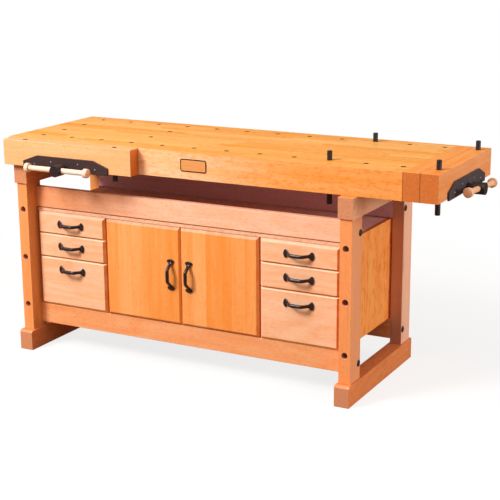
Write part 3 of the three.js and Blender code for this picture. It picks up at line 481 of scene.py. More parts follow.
def beech(name, grain, staves, tones, zones=(), holes=(), seams=(), **values):
    """Lacquered beech with its grain along one axis and its staves side by side along another.

    A zone is a function that gives a mask, with the tones used where that mask holds; many zones paint
    light or shade into the colour of the faces they pick. A hole is a box with the axis of the holes in it
    and the colour painted on their walls in place of their shade. A seam is a thin box where a dark line
    runs along X's cross sections, fainter on top than in front and absent from faces that look along X.
    """
    if name in bpy.data.materials:
        return bpy.data.materials[name]
    colours = bpy.context.scene.bench_colours
    made, tree, shader, where = new_material(name)
    parts = add_node(tree, "ShaderNodeSeparateXYZ", {0: where["Object"]}).outputs
    facing = add_node(tree, "ShaderNodeSeparateXYZ", {0: where["Normal"]}).outputs
    through = ({X_AXIS, Y_AXIS, Z_AXIS} - {grain, staves}).pop()
    order = {0: parts[grain], 1: parts[staves], 2: parts[through]}
    pale, deep = ((*getattr(colours, f"{tones}_{end}"), 1) for end in ("pale", "deep"))
    for zone, other in zones:
        mask = zone(tree, parts, facing)
        pale = blend(tree, mask, pale, (*getattr(colours, f"{other}_pale"), 1))
        deep = blend(tree, mask, deep, (*getattr(colours, f"{other}_deep"), 1))
    inputs = {
        "Place": add_node(tree, "ShaderNodeCombineXYZ", order).outputs[0],
        "Pale": pale,
        "Deep": deep,
        "End Tone": (*getattr(colours, f"{tones}_end", colours.sawn), 1),
        "End Grain": ramp(tree, calc(tree, "ABSOLUTE", facing[grain]), 0.8, 0.95),
    }
    inputs.update({key.replace("_", " ").title(): value for key, value in values.items()})
    wood = place_group(tree, beech_grain(), inputs)
    # Rounded edges lightened: partly wear, partly a painted highlight along the arrises.
    worn = place_group(tree, arris_wear(), {"Normal": where["Normal"], "Place": where["Object"]})["Mask"]
    wear_and_highlight = blend(tree, 1.0, wood["Color"], (0.08, 0.07, 0.05, 1), "SCREEN")
    colour = blend(tree, worn, wood["Color"], wear_and_highlight)
    # Painted shade: the holes' walls take their given colour.
    for low, high, axis, wall_shade_name in holes:
        wall = calc(tree, "LESS_THAN", calc(tree, "ABSOLUTE", facing[axis]), 0.7)
        inside = calc(tree, "MULTIPLY", within(tree, where, low, high), wall)
        colour = blend(tree, inside, colour, (*getattr(colours, wall_shade_name), 1))
    depth = calc(tree, "MULTIPLY_ADD", ramp(tree, facing[Z_AXIS], 0.5, 0.9), -0.45, 0.55)
    beside = calc(tree, "LESS_THAN", calc(tree, "ABSOLUTE", facing[X_AXIS]), 0.9)
    depth = calc(tree, "MULTIPLY", depth, beside)
    for low, high in seams:
        line = calc(tree, "MULTIPLY", within(tree, where, low, high), depth)
        colour = blend(tree, line, colour, (*colours.shadow, 1))
    tree.links.new(colour, shader.inputs["Base Color"])
    tree.links.new(wood["Roughness"], shader.inputs["Roughness"])
    tree.links.new(bump(tree, wood["Height"], 0.00006), shader.inputs["Normal"])
    shader.inputs["Specular IOR Level"].default_value = 0.3
    shader.inputs["Coat Weight"].default_value = 0.06
    shader.inputs["Coat Roughness"].default_value = 0.3
    return made


def facing_right(tree, place, normal):
    return ramp(tree, normal[X_AXIS], 0.5, 0.9)


def facing_front(tree, place, normal):
    return ramp(tree, calc(tree, "MULTIPLY", normal[Y_AXIS], -1.0), 0.5, 0.9)


def within(tree, where, low, high):
    """Mask of the box between two corners."""
    low, high = Vector(low), Vector(high)
    inputs = {"Place": where["Object"], "Middle": (low + high) / 2, "Half": (high - low) / 2}
    return place_group(tree, box_mask(), inputs)["Mask"]


def black_iron(name, dents, depth, rub=0.1, gloss=0.35, polish=0.0):
    """Black forged iron whose edges are rubbed a little brighter."""
    if name in bpy.data.materials:
        return bpy.data.materials[name]
    colours = bpy.context.scene.bench_colours
    made, tree, shader, where = new_material(name)
    skin_inputs = {"Place": where["Object"], "Dents": dents}
    surface = place_group(tree, iron_skin(), skin_inputs)
    worn = place_group(tree, arris_wear(), {"Normal": where["Normal"], "Place": where["Object"]})["Mask"]
    base = (*colours.iron, 1)
    patchy = blend(tree, surface["Patch"], base, tuple(1.7 * c for c in colours.iron) + (1,))
    rubbed = blend(tree, calc(tree, "MULTIPLY", worn, rub), patchy, (0.14, 0.13, 0.13, 1))
    tree.links.new(rubbed, shader.inputs["Base Color"])
    tree.links.new(calc(tree, "SUBTRACT", surface["Roughness"], polish), shader.inputs["Roughness"])
    tree.links.new(bump(tree, surface["Height"], depth), shader.inputs["Normal"])
    shader.inputs["Specular IOR Level"].default_value = gloss
    return made


def steel(name):
    """Plated steel with a fine mottled sheen."""
    if name in bpy.data.materials:
        return bpy.data.materials[name]
    colours = bpy.context.scene.bench_colours
    made, tree, shader, where = new_material(name)
    surface = place_group(tree, iron_skin(), {"Place": where["Object"], "Dents": 600.0, "Grain": 3000.0})
    base = (*colours.steel, 1)
    mottled = blend(tree, surface["Patch"], base, tuple(0.7 * c for c in colours.steel) + (1,))
    tree.links.new(mottled, shader.inputs["Base Color"])
    tree.links.new(surface["Roughness"], shader.inputs["Roughness"])
    tree.links.new(bump(tree, surface["Height"], 0.00003), shader.inputs["Normal"])
    shader.inputs["Metallic"].default_value = 0.95
    return made


def plate_paint(vise, axis, jaw_side):
    """Dark textured paint on a vise's face plate, and bare steel on its guide rods past the jaw's face."""
    name = f"{vise}_plate_paint"
    if name in bpy.data.materials:
        return bpy.data.materials[name]
    colours = bpy.context.scene.bench_colours
    made, tree, shader, where = new_material(name)
    surface = place_group(tree, iron_skin(), {"Place": where["Object"], "Dents": 420.0, "Grain": 1800.0})
    worn = place_group(tree, arris_wear(), {"Normal": where["Normal"], "Place": where["Object"]})["Mask"]
    along = add_node(tree, "ShaderNodeSeparateXYZ", {0: where["Object"]}).outputs[axis]
    towards_bench = 1 if axis == Y_AXIS else -1
    past = calc(tree, "MULTIPLY", calc(tree, "SUBTRACT", along, jaw_side), towards_bench)
    rod = calc(tree, "GREATER_THAN", past, 0.0)
    # The tail plate's tone is painted lighter for the light from the right.
    tone = getattr(colours, f"{vise}_plate")
    paint = blend(tree, surface["Patch"], (*tone, 1), tuple(0.6 * c for c in tone) + (1,))
    paint = blend(tree, calc(tree, "MULTIPLY", worn, 0.15), paint, (0.16, 0.15, 0.15, 1))
    tree.links.new(blend(tree, rod, paint, (*colours.steel, 1)), shader.inputs["Base Color"])
    tree.links.new(calc(tree, "MULTIPLY", rod, 0.95), shader.inputs["Metallic"])
    tree.links.new(calc(tree, "MULTIPLY_ADD", rod, -0.22, surface["Roughness"]), shader.inputs["Roughness"])
    depth = calc(tree, "MULTIPLY", surface["Height"], calc(tree, "SUBTRACT", 1.0, rod))
    tree.links.new(bump(tree, depth, 0.0002), shader.inputs["Normal"])
    shader.inputs["Specular IOR Level"].default_value = 0.35
    return made


def stain(name, colour_name):
    """Flat stain with faint cloudiness, for the blank badge."""
    if name in bpy.data.materials:
        return bpy.data.materials[name]
    colour = getattr(bpy.context.scene.bench_colours, colour_name)
    made, tree, shader, where = new_material(name)
    cloud = noise(tree, stretch(tree, where["Object"], (30.0, 160.0, 160.0)), 3.0)
    tone = blend(tree, cloud, (*colour, 1), tuple(0.75 * c for c in colour) + (1,))
    tree.links.new(tone, shader.inputs["Base Color"])
    tree.links.new(calc(tree, "MULTIPLY_ADD", cloud, 0.2, 0.35), shader.inputs["Roughness"])
    return made


# Mesh helpers


def skin(name, rings, material, body, sharp=math.radians(50)):
    """Closed surface through rings of points.

    Point j of ring i is rings[i, j]. Quads join neighbouring rings, and a fan about the middle of the
    first and of the last ring closes each end.
    """
    count, sides = rings.shape[:2]
    corner = np.arange(count * sides).reshape(count, sides)
    ahead = np.roll(corner, -1, axis=1)
    quads = np.stack([corner[:-1], ahead[:-1], ahead[1:], corner[1:]], axis=-1).reshape(-1, 4)
    first_middle, last_middle = count * sides, count * sides + 1
    first_fan = np.stack([ahead[0], corner[0], np.full(sides, first_middle)], axis=-1)
    last_fan = np.stack([corner[-1], ahead[-1], np.full(sides, last_middle)], axis=-1)
    points = np.concatenate([rings.reshape(-1, 3), rings[[0, -1]].mean(axis=1)])
    mesh = bpy.data.meshes.new(name)
    mesh.from_pydata(points.tolist(), [], quads.tolist() + first_fan.tolist() + last_fan.tolist())
    shell = bmesh.new()
    shell.from_mesh(mesh)
    bmesh.ops.recalc_face_normals(shell, faces=shell.faces)
    shell.to_mesh(mesh)
    shell.free()
    mesh.shade_smooth()
    mesh.set_sharp_from_angle(angle=sharp)
    mesh.materials.append(material)
    made = bpy.data.objects.new(name, mesh)
    bpy.context.scene.collection.objects.link(made)
    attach(made, body)
    return made


def cross_axes(axis):
    """Unit axis and two unit directions square to it."""
    along = np.array(axis, float) / np.linalg.norm(axis)
    helper = np.array((0.0, 0.0, 1.0)) if abs(along[2]) < 0.9 else np.array((1.0, 0.0, 0.0))
    side = np.cross(helper, along)
    side /= np.linalg.norm(side)
    return along, side, np.cross(along, side)


def turned(profile, origin, axis, sides):
    """Rings of a surface of revolution: at each place s along the axis, a circle of radius r about it."""
    along, side, up = cross_axes(axis)
    angle = np.linspace(0, 2 * math.pi, sides, endpoint=False)
    circle = np.cos(angle)[:, None] * side + np.sin(angle)[:, None] * up
    radius, place = np.array(profile).T
    return np.array(origin) + place[:, None, None] * along + radius[:, None, None] * circle


def step(value):
    """Smooth step: 0 below 0, 1 above 1, and 3 v v - 2 v v v between."""
    held = np.clip(value, 0, 1)
    return held * held * (3 - 2 * held)


def soften(name, width, limit=math.radians(30)):
    """Rounds a solid's edges: merges its loose corners, smooths shallow angles and bevels the others."""
    solid = NODES[name]
    merged = solid.modifiers.new("merged", "NODES")
    merged.node_group = smooth_by_angle()
    rounded = solid.modifiers.new("rounded", "BEVEL")
    rounded.width = width
    rounded.segments = 3
    rounded.limit_method = "ANGLE"
    rounded.angle_limit = limit
    rounded.harden_normals = True
    rounded.use_clamp_overlap = True
    rounded.miter_outer = "MITER_ARC"


def smooth_by_angle():
    """Geometry group that merges corners, drops stored normals and keeps only steep edges sharp."""
    name = "smooth_by_angle"
    if name in bpy.data.node_groups:
        return bpy.data.node_groups[name]
    tree = bpy.data.node_groups.new(name, "GeometryNodeTree")
    tree.interface.new_socket("Geometry", in_out="INPUT", socket_type="NodeSocketGeometry")
    tree.interface.new_socket("Geometry", in_out="OUTPUT", socket_type="NodeSocketGeometry")
    given = tree.nodes.new("NodeGroupInput").outputs[0]
    merged = add_node(tree, "GeometryNodeMergeByDistance", {0: given, "Distance": 1e-5}).outputs[0]
    angle = add_node(tree, "GeometryNodeInputMeshEdgeAngle").outputs["Unsigned Angle"]
    steep = add_node(tree, "FunctionNodeCompare", {0: angle, 1: math.radians(30)}, operation="GREATER_THAN")
    inputs = {0: merged, "Remove Custom": True, "Edge Sharpness": steep.outputs[0], "Face Sharpness": False}
    shaded = add_node(tree, "GeometryNodeSetMeshNormal", inputs, mode="SHARPNESS").outputs[0]
    tree.links.new(shaded, tree.nodes.new("NodeGroupOutput").inputs[0])
    return tree


def finish(name, material, width=None):
    """Gives a solid its finish and, when a width is given, rounds its edges."""
    solid = NODES[name]
    solid.data.materials.clear()
    solid.data.materials.append(material)
    if width:
        soften(name, width)


def middle(name):
    low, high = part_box(name)
    return (low + high) / 2


# Wood


class BENCH_OT_top(bpy.types.Operator):
    """Finishes the top, the end cap and the two wooden jaws"""

    bl_idname = "bench.finish_top"
    bl_label = "Finish top and jaws"

    APRON_SPAN = (-0.3, 0.38)

    def edge(self, tree, place, normal):
        along = ramp(tree, place[X_AXIS], *self.APRON_SPAN)
        return calc(tree, "MULTIPLY", facing_front(tree, place, normal), along)

    def bores(self, node, depth):
        """Box of the dog holes' walls, painted with a flat shade colour: inside the outline and down from just
        below the surface.
        """
        low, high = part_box(node)
        inside = Vector((0.006, 0.006, 0.0006))
        low.z = high.z - depth
        return low + inside, high - inside, Z_AXIS, "shadow"

    def execute(self, context):
        arris, close = context.scene.bench_sizes.top_arris, context.scene.bench_sizes.close_arris
        cap_low, cap_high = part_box("end_cap")
        line = Vector((0.0016, 0.01, 0.01))
        joint = (cap_low - line, Vector((cap_low.x, cap_high.y, cap_high.z)) + line)
        meeting = (Vector((cap_high.x, cap_low.y, cap_low.z)) - line, cap_high + line)
        staves = {"stave_width": 0.043, "stave_length": 0.62, "stave_tint": 0.55}
        zones = ((facing_front, "apron"), (self.edge, "edge"))
        holes = (self.bores("bench_top", 0.04),)
        look = {**staves, "streak": 1.5, "figure": 0.1, "fleck": 0.5, "mottle": 0.8, "mottle_size": 1.2}
        top = beech("top_beech", X_AXIS, Y_AXIS, "top", zones, holes, (joint,), **look)
        whole = {"stave_width": 2.0, "stave_length": 9.0, "stave_tint": 0.0, "fleck": 0.5, "mottle": 0.45}
        holes = (self.bores("front_vise_jaw", 0.06),)
        jaw = beech("jaw_beech", X_AXIS, Y_AXIS, "jaw", (), holes, (), **whole, streak=1.4, figure=0.14)
        holes = (self.bores("tail_vise_jaw", 0.06),)
        seams = (joint, meeting)
        look = {**whole, "streak": 1.6, "figure": 0.2}
        # Painted light on the right sides of the end cap and tail jaw.
        zones = ((facing_right, "side"),)
        cross = beech("cross_beech", Y_AXIS, X_AXIS, "cross", zones, holes, seams, **look)
        finish("bench_top", top, arris)
        finish("end_cap", cross, close)
        finish("front_vise_jaw", jaw, arris)
        finish("tail_vise_jaw", cross, close)
        return {"FINISHED"}


class BENCH_OT_trestles(bpy.types.Operator):
    """Finishes the posts, beams and feet of the trestles and the rails between them"""

    bl_idname = "bench.finish_trestles"
    bl_label = "Finish trestles and rails"
    # Span along X over which the painted jaw shade fades out.
    WARM_SHADE_SPAN = (-0.78, -0.3)

    def bores(self, side):
        """Box of the leg holes' walls in a front post, painted with a flat shade colour."""
        low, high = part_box(f"{side}_front_post")
        inside = Vector((0.008, 0.0006, 0.09))
        return low + inside, high - inside, Y_AXIS, "bore_shade"

    def shaded(self, tree, place, normal):
        """Front of the right back post, which the case keeps in the shade."""
        ahead = facing_front(tree, place, normal)
        return calc(tree, "MULTIPLY", ahead, calc(tree, "GREATER_THAN", place[X_AXIS], 0.0))

    def dim(self, tree, place, normal):
        """Inner side of the left front post, where shade is painted into the colour."""
        inner = facing_right(tree, place, normal)
        return calc(tree, "MULTIPLY", inner, calc(tree, "LESS_THAN", place[X_AXIS], 0.0))

    def flank_light(self, tree, place, normal):
        """Right side of the right beam, high up, painted lighter against the shade beneath the top."""
        high = calc(tree, "SUBTRACT", place[Z_AXIS], 0.5)
        there = calc(tree, "GREATER_THAN", calc(tree, "MINIMUM", high, place[X_AXIS]), 0.0)
        return calc(tree, "MULTIPLY", facing_right(tree, place, normal), there)

    def hollow_shade(self, tree, place, normal):
        """Inner side of the back rail, painted with the purplish cast of the shade beneath the top."""
        ahead = facing_front(tree, place, normal)
        return calc(tree, "MULTIPLY", ahead, calc(tree, "GREATER_THAN", place[Y_AXIS], 0.0))

    def warm_shade(self, tree, place, normal):
        """Left end of the upper rails, painted with the front jaw's orange shade."""
        return calc(tree, "SUBTRACT", 1.0, ramp(tree, place[X_AXIS], *self.WARM_SHADE_SPAN))

    def execute(self, context):
        arris = context.scene.bench_sizes.arris
        whole = {"stave_width": 2.0, "stave_length": 9.0, "stave_tint": 0.0}
        holes = [self.bores(side) for side in SIDES]
        look = {**whole, "streak": 1.2, "figure": 0.1, "fleck": 0.5, "mottle": 0.2}
        # Painted light and shade on the posts: right sides lit from the right, the left post's inner side and the
        # back posts' fronts in shade.
        ahead = ((facing_right, "cheek_light"), (self.dim, "dim"))
        behind = ((facing_front, "dim"), (self.shaded, "shade"))
        post = {
            "front": beech("post_beech", Z_AXIS, X_AXIS, "post", ahead, holes, **look),
            "back": beech("back_beech", Z_AXIS, X_AXIS, "back", behind, **look),
        }
        look = {**whole, "streak": 1.2, "figure": 0.15, "fleck": 0.6, "mottle": 0.6, "mottle_size": 1.5}
        beam = beech("beam_beech", Y_AXIS, Z_AXIS, "beam", ((self.flank_light, "flank_light"),), **look)
        look = {**whole, "streak": 1.3, "figure": 0.25, "fleck": 0.5, "mottle": 0.5}
        # Painted shade on the rails: the front jaw's shade at the left end, a purplish shade on the back rail's
        # inner side.
        zones = ((self.warm_shade, "warm_shade"), (self.hollow_shade, "hollow_shade"))
        board = {
            "upper": beech("rail_beech", X_AXIS, Z_AXIS, "rail", zones, **look),
            "lower": beech("base_beech", X_AXIS, Z_AXIS, "base", **look),
        }
        for side in SIDES:
            for face in ("front", "back"):
                finish(f"{side}_{face}_post", post[face], arris)
            finish(f"{side}_beam", beam, arris)
            finish(f"{side}_foot", beam, arris)
        for rail in RAILS:
            finish(rail, board[rail.split("_")[1]], arris)
        return {"FINISHED"}


class BENCH_OT_cabinet(bpy.types.Operator):
    """Finishes the case, the drawers, the doors and the hinges"""

    bl_idname = "bench.finish_cabinet"
    bl_label = "Finish cabinet"

    def away(self, tree, place, normal):
        """Bevels that look right, away from the light, where shade is painted into the colour."""
        return ramp(tree, normal[X_AXIS], 0.4, 0.65)

    # Bevels turned down, where shade is painted into the colour.
    def shaded_underside(self, tree, place, normal):
        return ramp(tree, calc(tree, "MULTIPLY", normal[Z_AXIS], -1.0), 0.4, 0.65)

    def parting_light(self, tree, place, normal):
        """Right side of the left door, which hides in the gap between the doors, painted lighter against the gap's
        shade.
        """
        left = calc(tree, "LESS_THAN", place[X_AXIS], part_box("right_door")[0].x)
        return calc(tree, "MULTIPLY", left, facing_right(tree, place, normal))

    # Bevels turned up; the drawers' ones take painted light.
    def crest(self, tree, place, normal):
        return ramp(tree, normal[Z_AXIS], 0.4, 0.65)

    def inset(self, tree, place, normal):
        """Upper bevels of the lower drawers, which lie in the gaps below the next ones, painted lighter against
        the gaps' shade.
        """
        low = calc(tree, "LESS_THAN", place[Z_AXIS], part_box("left_top_drawer_front")[0].z)
        return calc(tree, "MULTIPLY", low, self.crest(tree, place, normal))

    def shelf_shade(self, tree, place, normal):
        """Upper face of the case, apart from its front edge, painted with the purplish cast of the shade beneath
        the top.
        """
        behind = calc(tree, "GREATER_THAN", place[Y_AXIS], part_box("case_top")[0].y + 0.03)
        return calc(tree, "MULTIPLY", behind, self.crest(tree, place, normal))

    def execute(self, context):
        arris = context.scene.bench_sizes.arris
        whole = {"stave_width": 2.0, "stave_length": 9.0, "stave_tint": 0.0}
        staves = {"stave_width": 0.058, "stave_length": 9.0, "stave_tint": 1.0}
        # Painted light and shade on the drawers: shade on the bevels that look right or down, light on the bevels
        # turned up and more on the lower drawers' tops.
        zones = [(self.away, "bevel"), (self.shaded_underside, "shaded_underside")]
        zones += [(self.crest, "crest"), (self.inset, "inset")]
        look = {**whole, "streak": 1.3, "figure": 0.3, "fleck": 0.5, "mottle": 0.3}
        front = beech("drawer_beech", X_AXIS, Z_AXIS, "front", zones, **look)
        look = {**staves, "streak": 1.2, "figure": 0.12, "fleck": 0.6, "mottle": 0.3}
        # Painted shade on the doors' bevels that look right or down, painted light on the left door's side in the
        # gap.
        zones = [(self.away, "rim"), (self.shaded_underside, "rim")]
        zones += [(self.parting_light, "parting_light"), (self.crest, "ridge")]
        door = beech("door_beech", Z_AXIS, X_AXIS, "door", zones, **look)
        look = {**whole, "streak": 0.4, "figure": 0.4, "fleck": 0.25, "mottle": 1.2, "mottle_size": 2.0}
        panel = beech("panel_beech", Z_AXIS, Y_AXIS, "panel", **look)
        tray = beech("tray_beech", Y_AXIS, Z_AXIS, "tray", **whole, streak=0.8, figure=0.2, fleck=0.5)
        for side in SIDES:
            finish(f"case_{side}_side", panel, arris)
            finish(f"{side}_door_hinge", steel("hinge_steel"), context.scene.bench_sizes.metal_arris)
        for name in CASE_PANELS:
            finish(name, panel)
        look = {**whole, "streak": 0.9, "figure": 0.3, "fleck": 1.0, "mottle": 1.0}
        # Painted shade on the case's upper face.
        edge = beech("strip_beech", X_AXIS, Z_AXIS, "strip", [(self.shelf_shade, "shelf_shade")], **look)
        finish("case_top", edge)
        for drawer in DRAWERS:
            finish(f"{drawer}_front", front, arris)
            finish(f"{drawer}_tray", tray, arris)
        for name in DOORS:
            finish(name, door, arris)
        return {"FINISHED"}


class BENCH_OT_handles(bpy.types.Operator):
    """Turns the two wooden vise handles with their knobs"""

    bl_idname = "bench.turn_handles"
    bl_label = "Turn vise handles"

    def profile(self, sizes, length, knob):
        """Radius along the bar: an elliptic dome, a straight knob, a rounded shoulder and the bar."""
        bar = sizes.handle_bar / 2
        turn = np.linspace(0.12, math.pi / 2, 8)
        dome_radius = knob * np.sin(turn)
        dome_place = length / 2 - sizes.knob_dome + sizes.knob_dome * np.cos(turn)
        inner = length / 2 - sizes.knob_length
        round_place = inner + sizes.knob_shoulder * np.cos(turn)
        round_radius = bar + (knob - bar) * np.cos(turn - turn[0])
        run = np.linspace(inner - 0.002, 0, 12)
        bar_radius = bar * (1 - 0.05 * (run / inner) ** 2)
        radius = np.concatenate([dome_radius, round_radius, bar_radius])
        place = np.concatenate([dome_place, round_place, run])
        half = np.stack([radius, place], axis=1)
        mirrored = half[-2::-1] * (1, -1)
        return np.concatenate([half, mirrored])

    def execute(self, context):
        sizes = context.scene.bench_sizes
        low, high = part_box("front_vise_handle")
        length, knob = high.x - low.x, (high.z - low.z) / 2
        profile = self.profile(sizes, length, knob)
        whole = {"stave_width": 2.0, "stave_length": 9.0, "stave_tint": 0.0}
        woods = (("front", X_AXIS, Y_AXIS, "handle"), ("tail", Y_AXIS, X_AXIS, "grip"))
        for vise, grain, staves, tones in woods:
            wood = beech(f"{vise}_handle_beech", grain, staves, tones, **whole, streak=0.8, fleck=0.5)
            node = f"{vise}_vise_handle"
            axis = JOINTS[f"{vise}_handle_slide"]["axis"]
            rings = turned(profile, middle(node), axis, 40)
            made = skin(f"{vise}_handle_turned", rings, wood, BODY_OF[node])
            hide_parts(node)
        return {"FINISHED"}


# Iron and steel


class BENCH_OT_pulls(bpy.types.Operator):
    """Forges the arched pulls of the drawers and doors"""

    bl_idname = "bench.forge_pulls"
    bl_label = "Forge pulls"

    def rings(self, sizes, length, rise, pad):
        """Swept oval along a bow.

        With a the distance from the middle of the bow, the line stands off by rise times one minus a
        smooth step from a third to four fifths of the half length, and the oval widens from neck to pad
        by another smooth step and closes by an ellipse at the pad's end.
        """
        half = length / 2
        turn = np.linspace(-math.pi / 2, math.pi / 2, 73)[1:-1]
        x = half * np.sin(turn) ** 1
        a = np.abs(x) / half
        rest = sizes.pull_pad_thickness / 2
        out = rest + (rise - rest) * (1 - step((a - 0.3) / 0.52))
        bar, neck, wide = sizes.pull_bar_width / 2, sizes.pull_neck_width / 2, pad / 2
        shaft = bar + (neck - bar) * step(a / 0.62)
        width = shaft + (wide - shaft) * step((a - 0.66) / 0.2)
        width *= np.sqrt(np.clip(1 - (np.clip(a - 0.87, 0, 1) / 0.1301) ** 2, 0, 1))
        thick = sizes.pull_bar_thickness / 2
        depth = thick + (rest - thick) * step((a - 0.55) / 0.25)
        slope = np.gradient(out, x)
        lean = np.sqrt(1 + slope**2)
        angle = np.linspace(0, 2 * math.pi, 20, endpoint=False)
        across = width[:, None] * np.cos(angle)
        raised = depth[:, None] * np.sin(angle)
        along = x[:, None] - raised * (slope / lean)[:, None]
        stand = out[:, None] + raised / lean[:, None]
        return along, across, np.maximum(stand, 0)

    def execute(self, context):
        sizes = context.scene.bench_sizes
        iron = black_iron("pull_iron", 220.0, 0.00015, rub=0.0, gloss=0.45, polish=0.2)
        for owner in DRAWERS + DOORS:
            node = f"{owner}_pull"
            low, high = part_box(node)
            upright = high.z - low.z > high.x - low.x
            length = max(high.z - low.z, high.x - low.x)
            pad = min(high.z - low.z, high.x - low.x) + sizes.pull_pad_swell
            rise = high.y - low.y - sizes.pull_bar_thickness / 2 - sizes.pull_sink
            along, across, stand = self.rings(sizes, length, rise, pad)
            centre = middle(node)
            flat = (across, along) if upright else (along, across)
            rings = np.stack([centre.x + flat[0], high.y - stand, centre.z + flat[1]], axis=-1)
            made = skin(f"{owner}_bow", rings, iron, BODY_OF[node], math.radians(80))
            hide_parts(node)
        return {"FINISHED"}


class BENCH_OT_dogs(bpy.types.Operator):
    """Sets the round steel dogs with their flats"""

    bl_idname = "bench.set_dogs"
    bl_label = "Set dogs"

    def rings(self, sizes, low, high, flat_side):
        """Circles up the dog, each cut by the flat where it stands above the flat's foot, ends chamfered."""
        centre, radius = (low + high) / 2, (high.x - low.x) / 2
        cut, foot = sizes.dog_chamfer, high.z - sizes.dog_flat_height
        heights = np.array([low.z, low.z + cut, foot - 0.0005, foot, high.z - cut, high.z])
        size = np.array([radius - cut, radius, radius, radius, radius, radius - cut])
        reach = radius - np.array([0.0, 0.0, 0.0, 1.0, 1.0, 1.0]) * sizes.dog_flat_depth
        angle = np.linspace(0, 2 * math.pi, 64, endpoint=False)
        x = size[:, None] * np.cos(angle) * flat_side
        y = size[:, None] * np.sin(angle)
        held = np.minimum(x * flat_side, reach[:, None]) * flat_side
        z = np.broadcast_to(heights[:, None], held.shape)
        return np.stack([centre.x + held, centre.y + y, z], axis=-1)

    def execute(self, context):
        sizes = context.scene.bench_sizes
        iron = black_iron("dog_steel", 500.0, 0.00005)
        for node, flat_side in DOG_FLAT_SIDE.items():
            rings = self.rings(sizes, *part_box(node), flat_side)
            made = skin(f"{node}_turned", rings, iron, BODY_OF[node], math.radians(30))
            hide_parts(node)
        return {"FINISHED"}


class BENCH_OT_vises(bpy.types.Operator):
    """Finishes the vises' plates, rods, housings and hubs and cuts the screws' threads"""

    bl_idname = "bench.finish_vises"
    bl_label = "Finish vises"

    def thread(self, sizes, start, end, origin, axis):
        """Helical ridge: root radius plus depth times a flat-topped wave of s over lead minus the turn."""
        along, side, up = cross_axes(axis)
        steps = int((end - start) / sizes.thread_lead * 10)
        s = np.linspace(start, end, steps)[:, None]
        angle = np.linspace(0, 2 * math.pi, 24, endpoint=False)[None, :]
        wave = np.abs(2 * np.mod(s / sizes.thread_lead - angle / (2 * math.pi), 1) - 1)
        depth = (sizes.thread_crest - sizes.thread_root) / 2
        radius = sizes.thread_root / 2 + depth * step((wave - 0.25) / 0.4)
        circle = np.cos(angle)[..., None] * side + np.sin(angle)[..., None] * up
        return np.array(origin) + s[..., None] * along + radius[..., None] * circle

    def execute(self, context):
        sizes = context.scene.bench_sizes
        casting = black_iron("cast_iron", 160.0, 0.0003)
        for vise, axis in zip(VISES, (Y_AXIS, X_AXIS)):
            jaw_low, jaw_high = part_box(f"{vise}_vise_jaw")
            jaw_side = jaw_low[axis] if axis == Y_AXIS else jaw_high[axis]
            finish(f"{vise}_vise_guide_plate", plate_paint(vise, axis, jaw_side), sizes.metal_arris)
            finish(f"{vise}_vise_housing", casting, sizes.metal_arris * 2)
            finish(f"{vise}_vise_screw", casting, sizes.metal_arris * 1.5)
            joint = JOINTS[f"{vise}_screw_turn"]
            screw_low, screw_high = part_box(f"{vise}_vise_screw")
            inner = screw_high[axis] if axis == Y_AXIS else screw_low[axis]
            inward = -np.array(joint["axis"], float)
            end = abs(inner - joint["pos_m"][axis]) - 0.003
            start = abs(jaw_side - joint["pos_m"][axis])
            rings = self.thread(sizes, start, end, joint["pos_m"], inward)
            name = f"{vise}_screw_thread"
            skin(name, rings, steel("thread_steel"), f"{vise}_screw", math.pi)
        return {"FINISHED"}


def dome(radius, rise, seat, steps=10):
    """Profile of a domed head: straight from its seat, then a quarter ellipse to its crown."""
    turn = np.linspace(0, math.pi / 2 - 0.1, steps)
    head = np.stack([radius * np.cos(turn), rise * np.sin(turn)], axis=1)
    return np.concatenate([[(radius, -seat)], head])


class BENCH_OT_bolts(bpy.types.Operator):
    """Drives the domed rail bolts into the posts and the screws into the vise plates"""

    bl_idname = "bench.drive_bolts"
    bl_label = "Drive bolts and screws"
    PLATE_SCREWS = ((-0.36, 0.36), (-0.16, 0.62), (0.16, 0.62), (0.36, 0.36))

    def execute(self, context):
        sizes = context.scene.bench_sizes
        iron = black_iron("bolt_steel", 400.0, 0.00005)
        head = dome(sizes.bolt_head / 2, sizes.bolt_rise, sizes.bolt_seat - 0.0005)
        for side, outward in zip(SIDES, (-1, 1)):
            for rail in RAILS:
                post_low, post_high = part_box(f"{side}_{rail.split('_')[0]}_post")
                face = post_high.x if outward > 0 else post_low.x
                centre = middle(rail)
                rings = turned(head, (face, centre.y, centre.z), (outward, 0, 0), 32)
                skin(f"{side}_{rail}_bolt", rings, iron, "bench", math.radians(60))
        small = dome(sizes.plate_screw / 2, sizes.plate_screw_rise, 0.0005, 6)
        bright = steel("screw_steel")
        for vise, axis in zip(VISES, (Y_AXIS, X_AXIS)):
            plate_low, plate_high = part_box(f"{vise}_vise_guide_plate")
            span = X_AXIS if axis == Y_AXIS else Y_AXIS
            outward = JOINTS[f"{vise}_jaw_slide"]["axis"]
            for number, (along, up) in enumerate(self.PLATE_SCREWS):
                place = (plate_low + plate_high) / 2
                place[axis] = plate_low[axis] if axis == Y_AXIS else plate_high[axis]
                place[span] += along * (plate_high[span] - plate_low[span])
                place.z = plate_low.z + up * (plate_high.z - plate_low.z)
                rings = turned(small, place, outward, 16)
                skin(f"{vise}_plate_screw_{number}", rings, bright, f"{vise}_jaw")
        return {"FINISHED"}


